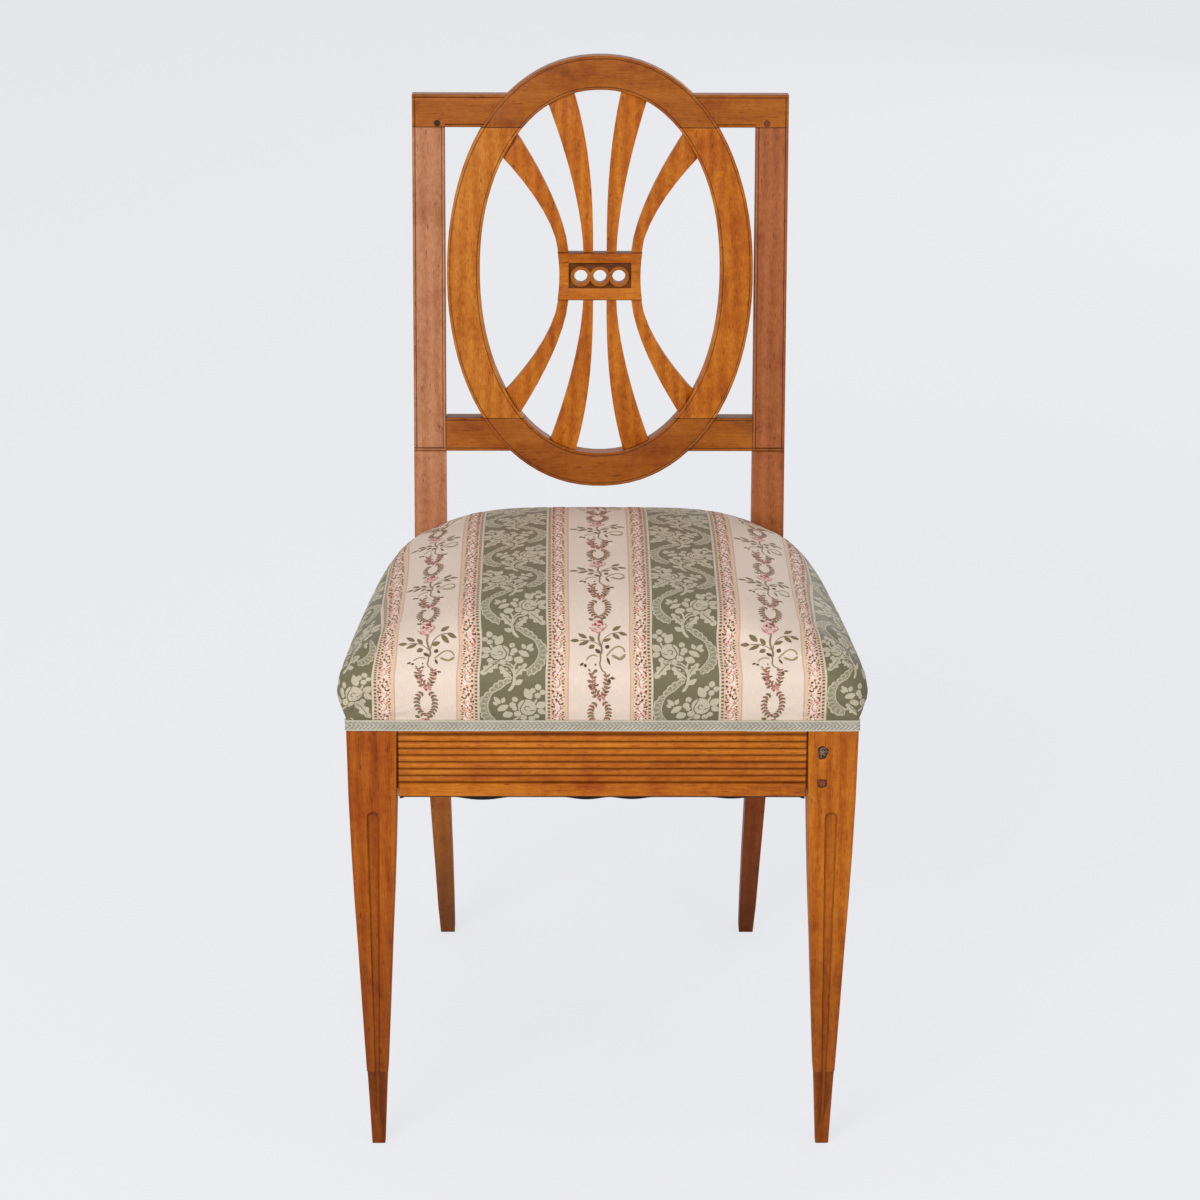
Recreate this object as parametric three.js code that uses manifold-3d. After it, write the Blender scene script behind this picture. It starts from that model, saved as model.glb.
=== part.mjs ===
import * as THREE from "three";
import { mergeVertices } from "three/addons/utils/BufferGeometryUtils.js";
import Module from "manifold-3d";

// A dining chair with an oval set in a square back and a stuffed seat covered over its rails.
// Sizes are millimetres: X runs across the chair, Y from front to back, Z up.

// Fits
const jointGap = 0.3; // clearance between pieces that meet
const clothGap = 1; // clearance round the seat's soft layers
const cutOver = 6; // how far a cut runs past the face it opens

// Seat frame
const frontHalfWidth = 225; // centre line to the outside of a front leg
const frameTop = 428; // top of the legs and rails, under the seat's layers
const railHeight = 76.5;
const railThickness = 20;
const hemDrop = 13; // top of the rails to the lower edge of the braid
const rebateDepth = 2; // step in the rails and legs that takes the cover's hem
const tenonThickness = 10;
const tenonInset = 6; // outer face of a rail to its tenon
const tenonLowEdge = 6; // bottom of the rail to the tenon
const tenonHighEdge = 5; // tenon to the hem line

// Front legs
const legWidth = 45; // at the top
const footSetback = 8; // how far the front face leans back by the floor
const legEdge = 0.9; // flat planed off each corner
const footShare = 0.289; // width at the floor
const sockHeight = 75;
const sockStep = 0.5; // step in on each side below the sock line
const legTaperShares = [
  [0.126, 0.391],
  [0.243, 0.496],
  [0.356, 0.595],
  [0.47, 0.689],
  [0.584, 0.796],
  [0.694, 0.878],
  [0.821, 0.952],
]; // height and width, as shares of the leg's own
const fluteTopDrop = 14.5; // below the rail
const fluteBottom = 32;
const fluteTopWidth = 11.8;
const fluteBottomWidth = 3.4;
const fluteDepthShare = 0.3; // depth of the hollow, of its width
const fluteRoundShares = [0.5, 0.85]; // rings on the round top, up its radius
const fluteSteps = 8;
const fluteSides = 12;

// Front rail
const frontRailSetback = 1.5; // behind the faces of the legs
const frontRailThickness = 22;
const frontTenonLength = 21;
const frontTenonInset = 6;
const reedBandBelow = 13.5; // plain wood from the rail's bottom to its reeds
const reedBandAbove = 4.3; // and from the reeds to the hem line
const reedCount = 7;
const reedDepth = 1.9;
const reedSteps = 6;

// Pegs in the right front leg
const legPegRadius = 3.1;
const legPegLength = 27;
const legPegInset = 13.5; // from the inner edge of the leg
const legPegShares = [0.714, 0.143]; // places up the tenon

// Side and rear rails
const sideTenonLength = 14;
const rearTenonLength = 12;
const rearRailInset = 1.5; // behind face to the back of the rear legs

// Rear legs, one piece with the stiles of the back
const rearLegFront = 391; // front face at the seat, from the faces of the front legs
const rearLegDepth = 30; // at the seat
const sabreDrop = 21.5; // below the rail, where the leg starts to sweep back
const sabreSweep = 48; // how far the front of the foot lies behind the seat's face
const sabreFootDepth = 23;
const sabreSteps = 8;
const stileOuter = 176.8;
const stileWidth = 30.5;
const rearFootInset = 19.7; // outside of the stile to the outside of the foot
const rearFootWidth = 13.9;
const rearTaperShares = [
  [0.094, 0.03, 0.11],
  [0.25, 0.23, 0.23],
  [0.455, 0.74, 0.41],
  [0.712, 0.9, 0.63],
]; // height up to the rail, then inner and outer edge's way from foot to stile

// Seat
const coverThickness = 1.2;
const shoulderRise = 55; // above the rails
const crownRise = 23; // above the shoulder
const bulgeFront = 9;
const bulgeSides = { front: 11.5, middle: 12.6, rear: 0.4 };
const bulgeRear = 5;
const rearDrop = 15; // how much lower the shoulder is at the back
const cornerDrop = 14; // and how much more at the two back corners
const cornerDropPower = 4;
const seatLevelShares = [
  [0, 0, 0.03],
  [0.17, 0, 0.03],
  [0.28, 0.42, 0.2],
  [0.42, 0.84, 0.45],
  [0.6, 1, 0.65],
  [0.76, 0.82, 0.8],
  [0.89, 0.25, 0.92],
  [1, -0.75, 1],
]; // height from hem to shoulder, bulge, corner rounding
const cornerRound = 38; // plan radius of the shoulder's corners
const domeShares = [0.93, 0.78, 0.55, 0.28];
const domePower = 2.3;
const frontSteps = 4;
const cornerSteps = 4;
const sideSteps = 7;
const rearSteps = 4;

// Back, measured up its raked face from the line under the lower rail
const backRake = 9; // degrees
const rakeDrop = 8.2; // top of the rails down to where the rake starts
const backThickness = 20.5;
const backHeight = 340.6;
const crestHeight = 30.6;
const lowerRailStart = 0.7; // above the line, which is a groove in the stiles
const lowerRailHeight = 32.3;
const backTenonThickness = 8;
const backTenonInset = 7; // face of the back to its tenons
const stileTenonInset = 3.2; // from each side of the stile
const stileTenonHeight = 18;
const lowerTenonLength = 16;
const lowerTenonInset = 5; // from the edges of the lower rail

// Oval
const ovalRise = 0.7; // its centre above the middle of the opening
const ovalSideGap = 1.6; // between its side and the stile
const ovalHalfHeight = 205;
const ovalFootSink = 12.3; // how far its foot dips behind the crown of the seat
const ovalSideWidth = 30.8; // of the band at the sides
const ovalEndWidth = 31.7; // of the band at the top and the foot
const ovalPower = 2.13; // 2 is an ellipse, and more is fuller at the shoulders
const ovalProud = 2.5; // oval's face in front of the rails
const ovalSteps = 88;
const ovalTenonShare = 0.7; // place of the joints, of the band's half width
const ovalTenonWidth = 13;
const ovalTenonLength = 11;

// Bead worked along the edges of the back
const beadWidth = 2.7;
const beadDepth = 0.9;
const beadShares = [
  [0, -1.1],
  [0.18, -0.35],
  [0.5, -0.05],
  [0.82, -0.35],
  [1, -1],
  [1.2, 0],
]; // from the edge inwards in bead widths, and from the face in bead depths

// Pegs in the back
const backPegRadius = 2.8;
const backPegLength = 17;
const crestPegRise = 3.8; // above the seam
const crestPegInset = { left: 6.9, right: 10.1 }; // from the inner edge of the stile
const lowerPegInset = 6.2;
const lowerPegDrop = 11; // below the top of the lower rail

// Plaque and splats
const plaqueDrop = 3.5; // its middle below the oval's
const plaqueHeight = 45.2;
const plaqueHalfWidth = 40;
const plaqueWaist = 1.6; // hollow of its two ends
const plaqueEndSteps = 6;
const plaqueFace = -0.6; // from the face of the rails
const plaqueThickness = 14;
const recessHalfWidth = 29.6;
const recessHeight = 24.4;
const recessRise = 1; // its middle above the plaque's
const recessDepth = 2.6;
const eyeSpacing = 18;
const eyeRadius = 6.3;
const eyeRingRadius = 9.7;
const eyeRingSink = 0.5;
const eyeSides = 28;
const splatFace = -1.8;
const splatThickness = 12;
const splatSetback = 6.7; // the full flare comes this far short of the oval's end
const splatSteps = 12;
const innerSplat = {
  inside: { start: 6.4, flare: 16.1, power: 2.5 },
  outside: { start: 15.7, flare: 34.5, power: 1.6 },
};
// The right upper splat by the middle was shaped a little straighter than its three fellows.
const straighterSplat = {
  inside: { start: 6.4, flare: 11.6, power: 2.5 },
  outside: { start: 15.7, flare: 28, power: 1.6 },
};
const outerSplat = {
  inside: { start: 29.8, flare: 70, power: 1.5 },
  outside: { start: 39.4, flare: 111, power: 1.6 },
};
const stubInset = 2.6; // splat's edge to its stub tenon
const stubLength = 4.5;
const stubThickness = 6;

// Corner blocks
const blockRise = 10.5; // above the bottom of the rails
const blockHeight = 40;
const blockReach = 46; // along each rail from the leg

// Webbing and hessian
const strapWidth = 50;
const strapThickness = 1.5;
const strapEndInset = 5;
const strapRamp = 12; // length of the climb over or under another strap
const strapSpacing = { across: 92, along: 88 };
const hessianThickness = 0.8;
const hessianInset = 4;

// Braid and dust cover
const braidHeight = 10.7;
const braidThickness = 1.6;
const braidCorner = 1.4;
const dustThickness = 1;
const dustInset = 3.5;

// Values that follow from the sizes above
const railBottom = frameTop - railHeight;
const hemHeight = frameTop - hemDrop;
const shoulderHeight = frameTop + shoulderRise;
const crownHeight = shoulderHeight + crownRise;
const reedLow = railBottom + reedBandBelow;
const reedPitch = (hemHeight - reedBandAbove - reedLow) / reedCount;
const fluteTop = railBottom - fluteTopDrop;
const sabreTop = railBottom - sabreDrop;
const stileInner = stileOuter - stileWidth;
const crestPegX = { left: stileInner + crestPegInset.left, right: stileInner + crestPegInset.right };
const lowerPegX = stileInner + lowerPegInset;
const rearFootOuter = stileOuter - rearFootInset;
const rearFootInner = rearFootOuter - rearFootWidth;
const sideSlope = (frontHalfWidth - stileOuter) / rearLegFront;
const legInner = frontHalfWidth - legWidth;
const rearLegBack = rearLegFront + rearLegDepth;
const rearRailBack = rearLegBack - rearRailInset;
const rearRailFront = rearRailBack - railThickness;
const frontRailBack = frontRailSetback + frontRailThickness;
const rake = THREE.MathUtils.degToRad(backRake);
const rakeStart = frameTop - rakeDrop;
const crestBottom = backHeight - crestHeight;
const lowerRailTop = lowerRailStart + lowerRailHeight;
const ovalCentre = (lowerRailTop + crestBottom) / 2 + ovalRise;
const backBaseZ = crownHeight - ovalFootSink + ovalHalfHeight - ovalCentre;
const backBaseY = rearLegFront + (backBaseZ - rakeStart) * Math.tan(rake);
const ovalOuterX = stileInner - ovalSideGap;
const ovalInnerX = ovalOuterX - ovalSideWidth;
const ovalInnerS = ovalHalfHeight - ovalEndWidth;
const plaqueMiddle = ovalCentre - plaqueDrop;
const plaqueBottom = plaqueMiddle - plaqueHeight / 2;
const plaqueTop = plaqueMiddle + plaqueHeight / 2;
const splatRun = ovalInnerS - plaqueHeight / 2;
const splatReach = splatRun - splatSetback;
const strapLow = frameTop + jointGap;
const strapLevel = strapThickness + jointGap;
const hessianLow = strapLow + 2 * strapLevel;
const padLow = hessianLow + hessianThickness + jointGap;
const hemInset = rebateDepth - jointGap - coverThickness;
const seatMiddle = rearRailBack / 2;
const lengthStrapsX = [-1, 0, 1].map((place) => place * strapSpacing.across);
const crossStrapsY = [-1, 0, 1].map((place) => seatMiddle + place * strapSpacing.along);

const axisX = new THREE.Vector3(1, 0, 0);
const axisY = new THREE.Vector3(0, 1, 0);
const axisZ = new THREE.Vector3(0, 0, 1);

const wasm = await Module();
wasm.setup();

// The back's own frame: X across, Y up the raked face, Z out of the face towards the sitter.
const backFrame = new THREE.Matrix4().makeRotationX(Math.PI / 2 - rake);
backFrame.setPosition(0, backBaseY, backBaseZ);

function solid(geometry) {
  const bare = new THREE.BufferGeometry();
  bare.setAttribute("position", geometry.getAttribute("position"));
  bare.setIndex(geometry.getIndex());
  const merged = mergeVertices(bare);
  const vertProperties = merged.getAttribute("position").array;
  const triVerts = new Uint32Array(merged.getIndex().array);
  return new wasm.Manifold(new wasm.Mesh({ numProp: 3, vertProperties, triVerts }));
}

function geometryOf(body) {
  const made = body.getMesh();
  const geometry = new THREE.BufferGeometry();
  geometry.setAttribute("position", new THREE.BufferAttribute(made.vertProperties, made.numProp));
  geometry.setIndex(new THREE.BufferAttribute(made.triVerts, 1));
  geometry.computeVertexNormals();
  return geometry;
}

function cut(body, cutters) {
  return cutters.reduce((left, cutter) => left.subtract(cutter), body);
}

function join(bodies) {
  return bodies.reduce((whole, body) => whole.add(body));
}

function outline(points) {
  return new THREE.Shape(points.map(([a, b]) => new THREE.Vector2(a, b)));
}

// An outline in X and Y, drawn up from low to high.
function prismGeometry(points, low, high) {
  const settings = { depth: high - low, bevelEnabled: false };
  return new THREE.ExtrudeGeometry(outline(points), settings).translate(0, 0, low);
}

function prism(points, low, high) {
  return solid(prismGeometry(points, low, high));
}

// An outline in Y and Z, drawn across from low to high.
function crossPrism(points, low, high) {
  const turn = new THREE.Matrix4().makeBasis(axisY, axisZ, axisX);
  return solid(prismGeometry(points, low, high).applyMatrix4(turn));
}

// An outline in X and Z, drawn from the front at low to the back at high.
function depthPrism(points, low, high) {
  const turn = new THREE.Matrix4().makeBasis(axisX, axisZ, axisY.clone().negate());
  return solid(prismGeometry(points, -high, -low).applyMatrix4(turn));
}

function blockGeometry([x0, x1], [y0, y1], [z0, z1]) {
  const geometry = new THREE.BoxGeometry(Math.abs(x1 - x0), Math.abs(y1 - y0), Math.abs(z1 - z0));
  return geometry.translate((x0 + x1) / 2, (y0 + y1) / 2, (z0 + z1) / 2);
}

function block(xs, ys, zs) {
  return solid(blockGeometry(xs, ys, zs));
}

// Rings of points joined into a skin. A ring of one point is a tip, and open ends are closed flat.
function loft(rings, endless = false) {
  const starts = [];
  const points = [];
  for (const ring of rings) {
    starts.push(points.length);
    points.push(...ring);
  }
  const faces = [];
  const spans = endless ? rings.length : rings.length - 1;
  for (let j = 0; j < spans; j++) {
    const next = (j + 1) % rings.length;
    joinRings(faces, starts[j], rings[j].length, starts[next], rings[next].length);
  }
  if (!endless) {
    const last = rings.length - 1;
    for (let i = 1; i < rings[0].length - 1; i++) faces.push(starts[0], starts[0] + i + 1, starts[0] + i);
    for (let i = 1; i < rings[last].length - 1; i++)
      faces.push(starts[last], starts[last] + i, starts[last] + i + 1);
  }
  const geometry = new THREE.BufferGeometry().setFromPoints(points);
  geometry.setIndex(faces);
  return solid(geometry);
}

function joinRings(faces, lower, lowerCount, upper, upperCount) {
  const count = Math.max(lowerCount, upperCount);
  for (let i = 0; i < count; i++) {
    const after = (i + 1) % count;
    if (lowerCount > 1) faces.push(lower + i, lower + after, upperCount > 1 ? upper + after : upper);
    if (upperCount > 1) faces.push(lowerCount > 1 ? lower + i : lower, upper + after, upper + i);
  }
}

function roundBar(radius, sides, from, to, axis) {
  const length = from.distanceTo(to);
  const geometry = new THREE.CylinderGeometry(radius, radius, length, sides);
  geometry.applyQuaternion(new THREE.Quaternion().setFromUnitVectors(axisY, axis));
  const middle = from.clone().add(to).multiplyScalar(1 / 2);
  return solid(geometry.translate(middle.x, middle.y, middle.z));
}

function mirrored(points) {
  return points.map(([a, b]) => [-a, b]);
}

function sideX(y) {
  return frontHalfWidth - sideSlope * y;
}

// Half of an outline, from the front to the back, closed with its own mirror image.
function bothHalves(half) {
  return [...half, ...mirrored(half).reverse()];
}

// Front legs: square, tapered on every side, with the outer side turned in line with the side rail.

function legShareAt(heightShare) {
  const table = [[0, footShare], ...legTaperShares, [1, 1]];
  const above = table.findIndex(([height]) => height >= heightShare);
  const [lowHeight, lowWidth] = table[Math.max(above - 1, 0)];
  const [highHeight, highWidth] = table[Math.max(above, 1)];
  const way = (heightShare - lowHeight) / (highHeight - lowHeight);
  return lowWidth + way * (highWidth - lowWidth);
}

function legFaceY(height) {
  return (footSetback * (1 - legShareAt(height / frameTop))) / (1 - footShare);
}

function legRing(height, inset, rebate) {
  const width = legWidth * legShareAt(height / frameTop);
  const middle = frontHalfWidth - legWidth / 2;
  const front = legFaceY(height) + inset;
  const back = legFaceY(height) + width - inset;
  const inner = middle - width / 2 + inset;
  const outer = middle + width / 2 - inset;
  const lean = sideSlope * (back - front);
  const corners = [
    [inner, front + rebate],
    [outer - rebate, front + rebate],
    [outer - lean - rebate, back],
    [inner, back],
  ];
  return planed(corners, legEdge).map(([x, y]) => new THREE.Vector3(x, y, height));
}

// Each corner of an outline replaced by a short flat.
function planed(corners, edge) {
  const points = [];
  corners.forEach((corner, i) => {
    const here = new THREE.Vector2(...corner);
    const before = new THREE.Vector2(...corners.at(i - 1));
    const after = new THREE.Vector2(...corners[(i + 1) % corners.length]);
    for (const other of [before, after]) {
      const step = other.sub(here).setLength(edge);
      points.push([here.x + step.x, here.y + step.y]);
    }
  });
  return points;
}

function fluteCutter() {
  const middle = frontHalfWidth - legWidth / 2;
  const rings = [];
  const addRing = (height, width) => {
    const ring = [];
    for (let i = 0; i < fluteSides; i++) {
      const turn = (2 * Math.PI * i) / fluteSides;
      const x = middle + (width / 2) * Math.cos(turn);
      const y = legFaceY(height) + fluteDepthShare * width * Math.sin(turn);
      ring.push(new THREE.Vector3(x, y, height));
    }
    rings.push(ring);
  };
  const roundStart = fluteTop - fluteTopWidth / 2;
  for (let i = 0; i <= fluteSteps; i++) {
    const way = i / fluteSteps;
    const height = fluteBottom + way * (roundStart - fluteBottom);
    addRing(height, fluteBottomWidth + way * (fluteTopWidth - fluteBottomWidth));
  }
  for (const share of fluteRoundShares) {
    addRing(roundStart + (share * fluteTopWidth) / 2, fluteTopWidth * Math.sqrt(1 - share * share));
  }
  rings.push([new THREE.Vector3(middle, legFaceY(fluteTop), fluteTop)]);
  rings.unshift([new THREE.Vector3(middle, legFaceY(fluteBottom), fluteBottom - fluteBottomWidth)]);
  return loft(rings);
}

function grown([low, high], by) {
  return [low - by, high + by];
}

const tenonHeights = [railBottom + tenonLowEdge, hemHeight - tenonHighEdge];
const legPegHeights = legPegShares.map((share) => THREE.MathUtils.lerp(...tenonHeights, share));
const frontTenonY = [frontRailSetback + frontTenonInset, frontRailSetback + frontTenonInset + tenonThickness];
const sideFrontTenonX = [sideX(legWidth) - tenonInset - tenonThickness, sideX(legWidth) - tenonInset];
const sideRearTenonX = [stileOuter - tenonInset - tenonThickness, stileOuter - tenonInset];
const rearTenonY = [rearRailBack - tenonInset - tenonThickness, rearRailBack - tenonInset];

function legPegBar(height, radius, past) {
  const x = legInner + legPegInset;
  const front = new THREE.Vector3(x, legFaceY(height) - past, height);
  const back = new THREE.Vector3(x, legPegLength + (past ? jointGap : 0), height);
  return roundBar(radius, fluteSides, front, back, axisY);
}

function frontLegBody(pegged) {
  const taperHeights = legTaperShares.map(([height]) => height * frameTop);
  const below = taperHeights.filter((height) => height < sockHeight);
  const above = taperHeights.filter((height) => height > sockHeight);
  const rings = [
    legRing(0, sockStep, 0),
    ...below.map((height) => legRing(height, sockStep, 0)),
    legRing(sockHeight - sockStep, sockStep, 0),
    legRing(sockHeight, 0, 0),
    ...above.map((height) => legRing(height, 0, 0)),
    legRing(hemHeight, 0, 0),
    legRing(hemHeight, 0, rebateDepth),
    legRing(frameTop, 0, rebateDepth),
  ];
  const heights = grown(tenonHeights, jointGap);
  const railMortise = block(
    [legInner - cutOver, legInner + frontTenonLength + jointGap],
    grown(frontTenonY, jointGap),
    heights,
  );
  const sideMortise = block(
    grown(sideFrontTenonX, jointGap),
    [legWidth - sideTenonLength - jointGap, legWidth + cutOver],
    heights,
  );
  const cutters = [fluteCutter(), railMortise, sideMortise];
  if (pegged) {
    for (const height of legPegHeights) {
      cutters.push(legPegBar(height, legPegRadius + jointGap, cutOver));
    }
  }
  return cut(loft(rings), cutters);
}

// Front rail: reeds worked along its face above a plain band.

function frontRailBody() {
  const profile = [
    [frontRailBack, railBottom],
    [frontRailBack, frameTop],
    [rebateDepth, frameTop],
    [rebateDepth, hemHeight],
    [frontRailSetback, hemHeight],
  ];
  const stepCount = reedCount * reedSteps;
  for (let i = stepCount; i >= 0; i--) {
    const way = (i % reedSteps) / reedSteps;
    const hollow = reedDepth * (1 - Math.sqrt(Math.sin(Math.PI * way)));
    profile.push([frontRailSetback + hollow, reedLow + (i * reedPitch) / reedSteps]);
  }
  profile.push([frontRailSetback, reedLow - reedDepth / 2]);
  profile.push([frontRailSetback, railBottom + legEdge]);
  profile.push([frontRailSetback + legEdge, railBottom]);
  const half = legInner - jointGap;
  const board = crossPrism(profile, -half, half);
  const reach = legInner + frontTenonLength;
  const tenons = block([-reach, reach], frontTenonY, tenonHeights);
  const holes = legPegHeights.map((height) => legPegBar(height, legPegRadius + jointGap, cutOver));
  return cut(board.add(tenons), holes);
}

// Side rails: follow the seat's taper from the front leg to the rear leg.

function sideRailBody() {
  const front = legWidth + jointGap;
  const back = rearLegFront - jointGap;
  const ring = (height, rebate, inset) =>
    [
      [sideX(front) - railThickness, front],
      [sideX(front) - rebate - inset, front],
      [sideX(back) - rebate - inset, back],
      [sideX(back) - railThickness, back],
    ].map(([x, y]) => new THREE.Vector3(x, y, height));
  const board = loft([
    ring(railBottom, 0, legEdge),
    ring(railBottom + legEdge, 0, 0),
    ring(hemHeight, 0, 0),
    ring(hemHeight, rebateDepth, 0),
    ring(frameTop, rebateDepth, 0),
  ]);
  const root = railThickness / 2;
  const frontTenon = block(sideFrontTenonX, [legWidth - sideTenonLength, front + root], tenonHeights);
  const rearTenon = block(sideRearTenonX, [back - root, rearLegFront + sideTenonLength], tenonHeights);
  const inside = prism(
    [
      [sideX(0), 0],
      [sideX(rearLegBack), rearLegBack],
      [sideX(rearLegBack) - railThickness, rearLegBack],
      [sideX(0) - railThickness, 0],
    ],
    railBottom,
    frameTop,
  );
  const tenons = frontTenon.add(rearTenon).intersect(inside);
  return board.add(tenons);
}

function rearRailBody() {
  const half = stileInner - jointGap;
  const profile = [
    [rearRailFront, railBottom],
    [rearRailBack - legEdge, railBottom],
    [rearRailBack, railBottom + legEdge],
    [rearRailBack, hemHeight],
    [rearRailBack - rebateDepth, hemHeight],
    [rearRailBack - rebateDepth, frameTop],
    [rearRailFront, frameTop],
  ];
  const reach = stileInner + rearTenonLength;
  return crossPrism(profile, -half, half).add(block([-reach, reach], rearTenonY, tenonHeights));
}

// Rear legs: a side view, swept back below the seat and raked above it, meets a front view.

function backPoint(up, out) {
  const place = new THREE.Vector3(0, up, out).applyMatrix4(backFrame);
  return [place.y, place.z];
}

function sweepAt(height, foot) {
  const way = (sabreTop - height) / sabreTop;
  return foot * way * way;
}

function rearLegSide(top) {
  const front = [];
  const back = [];
  for (let i = 0; i <= sabreSteps; i++) {
    const height = (sabreTop * i) / sabreSteps;
    const backSweep = sabreSweep + sabreFootDepth - rearLegDepth;
    front.push([rearLegFront + sweepAt(height, sabreSweep), height]);
    back.push([rearLegBack + sweepAt(height, backSweep), height]);
  }
  front.push([rearLegFront, rakeStart]);
  back.push([rearLegBack, frameTop]);
  back.push(backPoint(0, -backThickness));
  return [...front, backPoint(top, 0), backPoint(top, -backThickness), ...back.reverse()];
}

function rearLegFace() {
  const inner = [[rearFootInner, 0]];
  const outer = [[rearFootOuter, 0]];
  for (const [height, innerWay, outerWay] of rearTaperShares) {
    inner.push([rearFootInner + innerWay * (stileInner - rearFootInner), height * railBottom]);
    outer.push([rearFootOuter + outerWay * (stileOuter - rearFootOuter), height * railBottom]);
  }
  const top = backBaseZ + backHeight;
  inner.push([stileInner, railBottom], [stileInner, top]);
  outer.push([stileOuter, railBottom], [stileOuter, top]);
  return [...inner, ...outer.reverse()];
}

// A cut along a straight edge of the back that leaves a rounded bead and the groove beside it.
function beadCutter(from, to, inward) {
  const profile = beadShares.map(([u, v]) => [u * beadWidth, v * beadDepth]);
  const [, edgeDrop] = profile[0];
  const [grooveEnd] = profile.at(-1);
  const around = [...profile, [grooveEnd, cutOver], [-cutOver, cutOver], [-cutOver, edgeDrop]];
  const run = new THREE.Vector3(to[0] - from[0], to[1] - from[1], 0);
  const into = new THREE.Vector3(inward[0], inward[1], 0);
  const along = new THREE.Vector3().crossVectors(into, axisZ);
  const start = run.dot(along) > 0 ? from : to;
  const place = new THREE.Matrix4().makeBasis(into, axisZ, along);
  place.setPosition(start[0], start[1], 0);
  return prismGeometry(around, 0, run.length()).applyMatrix4(place);
}

function grooveCutter(x0, x1, up) {
  const geometry = blockGeometry([x0, x1], [-beadDepth, beadDepth], [-beadDepth, beadDepth]);
  return geometry.rotateX(Math.PI / 4).translate(0, up, 0);
}

const stileTenonX = [stileInner + stileTenonInset, stileOuter - stileTenonInset];
const backTenonV = [-backTenonInset - backTenonThickness, -backTenonInset];
const lowerTenonS = [lowerRailStart + lowerTenonInset, lowerRailTop - lowerTenonInset];

function backPegBar(x, up, radius, past) {
  const front = new THREE.Vector3(x, up, past);
  const back = new THREE.Vector3(x, up, -backPegLength - (past ? jointGap : 0));
  return roundBar(radius, fluteSides, back, front, axisZ);
}

function inWorld(body) {
  return solid(geometryOf(body).applyMatrix4(backFrame));
}

function rearLegBody(crestPeg) {
  const top = crestBottom - jointGap;
  const slab = crossPrism(rearLegSide(top), stileInner - cutOver, stileOuter + cutOver);
  const face = depthPrism(rearLegFace(), rearLegFront - cutOver, rearLegBack + ovalInnerS);
  const tenonUp = [top - backTenonInset, crestBottom + stileTenonHeight];
  const backCuts = [
    solid(beadCutter([stileInner, lowerRailStart], [stileInner, backHeight], [1, 0])),
    solid(beadCutter([stileOuter, lowerRailStart], [stileOuter, backHeight], [-1, 0])),
    solid(grooveCutter(stileInner - cutOver, stileOuter + cutOver, lowerRailStart)),
    solid(grooveCutter(stileInner - cutOver, stileOuter + cutOver, lowerRailStart + beadWidth)),
    backPegBar(lowerPegX, lowerRailTop - lowerPegDrop, backPegRadius + jointGap, cutOver),
    block(
      [stileInner - cutOver, stileInner + lowerTenonLength + jointGap],
      grown(lowerTenonS, jointGap),
      grown(backTenonV, jointGap),
    ),
  ];
  const heights = grown(tenonHeights, jointGap);
  const seatCuts = [
    block(
      grown(sideRearTenonX, jointGap),
      [rearLegFront - cutOver, rearLegFront + sideTenonLength + jointGap],
      heights,
    ),
    block(
      [stileInner - cutOver, stileInner + rearTenonLength + jointGap],
      grown(rearTenonY, jointGap),
      heights,
    ),
  ];
  const stile = cut(slab.intersect(face), [...backCuts.map(inWorld), ...seatCuts]);
  const pegHole = backPegBar(crestPeg, crestBottom + crestPegRise, backPegRadius + jointGap, cutOver);
  const tenon = block(stileTenonX, tenonUp, backTenonV);
  return cut(stile.add(inWorld(tenon)), [inWorld(pegHole)]);
}

// Oval: a band with a bead on both edges, sawn level into a top, a foot and two sides.

function ovalPoint(halfX, halfS, turn) {
  const round = (part) => Math.sign(part) * Math.abs(part) ** (2 / ovalPower);
  return [halfX * round(Math.cos(turn)), ovalCentre + halfS * round(Math.sin(turn))];
}

function ovalOutline(halfX, halfS) {
  const points = [];
  for (let i = 0; i < ovalSteps; i++) {
    points.push(ovalPoint(halfX, halfS, (2 * Math.PI * i) / ovalSteps));
  }
  return points;
}

function ovalSection(turn) {
  const inner = new THREE.Vector2(...ovalPoint(ovalInnerX, ovalInnerS, turn));
  const outer = new THREE.Vector2(...ovalPoint(ovalOuterX, ovalHalfHeight, turn));
  const across = outer.clone().sub(inner).normalize();
  const at = (edge, inward, out) => {
    const place = edge.clone().addScaledVector(across, inward);
    return new THREE.Vector3(place.x, place.y, out);
  };
  const innerBead = beadShares.map(([u, v]) => at(inner, u * beadWidth, ovalProud + v * beadDepth));
  const outerBead = beadShares.map(([u, v]) => at(outer, -u * beadWidth, ovalProud + v * beadDepth));
  const back = [at(outer, 0, -backThickness), at(inner, 0, -backThickness)];
  return [...innerBead, ...outerBead.reverse(), ...back];
}

function ovalBand() {
  const rings = [];
  for (let i = 0; i < ovalSteps; i++) {
    rings.push(ovalSection((2 * Math.PI * (i + 1 / 2)) / ovalSteps));
  }
  return loft(rings, true);
}

function slabBetween(low, high) {
  const depth = [-backThickness - cutOver, ovalProud + cutOver];
  return block([-ovalHalfHeight, ovalHalfHeight], [low, high], depth);
}

const ovalTenonX = (ovalTenonShare * (ovalInnerX + ovalOuterX)) / 2;
const ovalTenonXs = [ovalTenonX - ovalTenonWidth / 2, ovalTenonX + ovalTenonWidth / 2];
const ovalTenonSpan = [lowerRailTop - ovalTenonLength, crestBottom + ovalTenonLength];

// What lies inside the middle of the band, taken out of a board that the band crosses.
function ovalMiddle() {
  const points = ovalOutline((ovalInnerX + ovalOuterX) / 2, (ovalInnerS + ovalHalfHeight) / 2);
  return prism(points, -backThickness - cutOver, ovalProud + cutOver);
}

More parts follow.
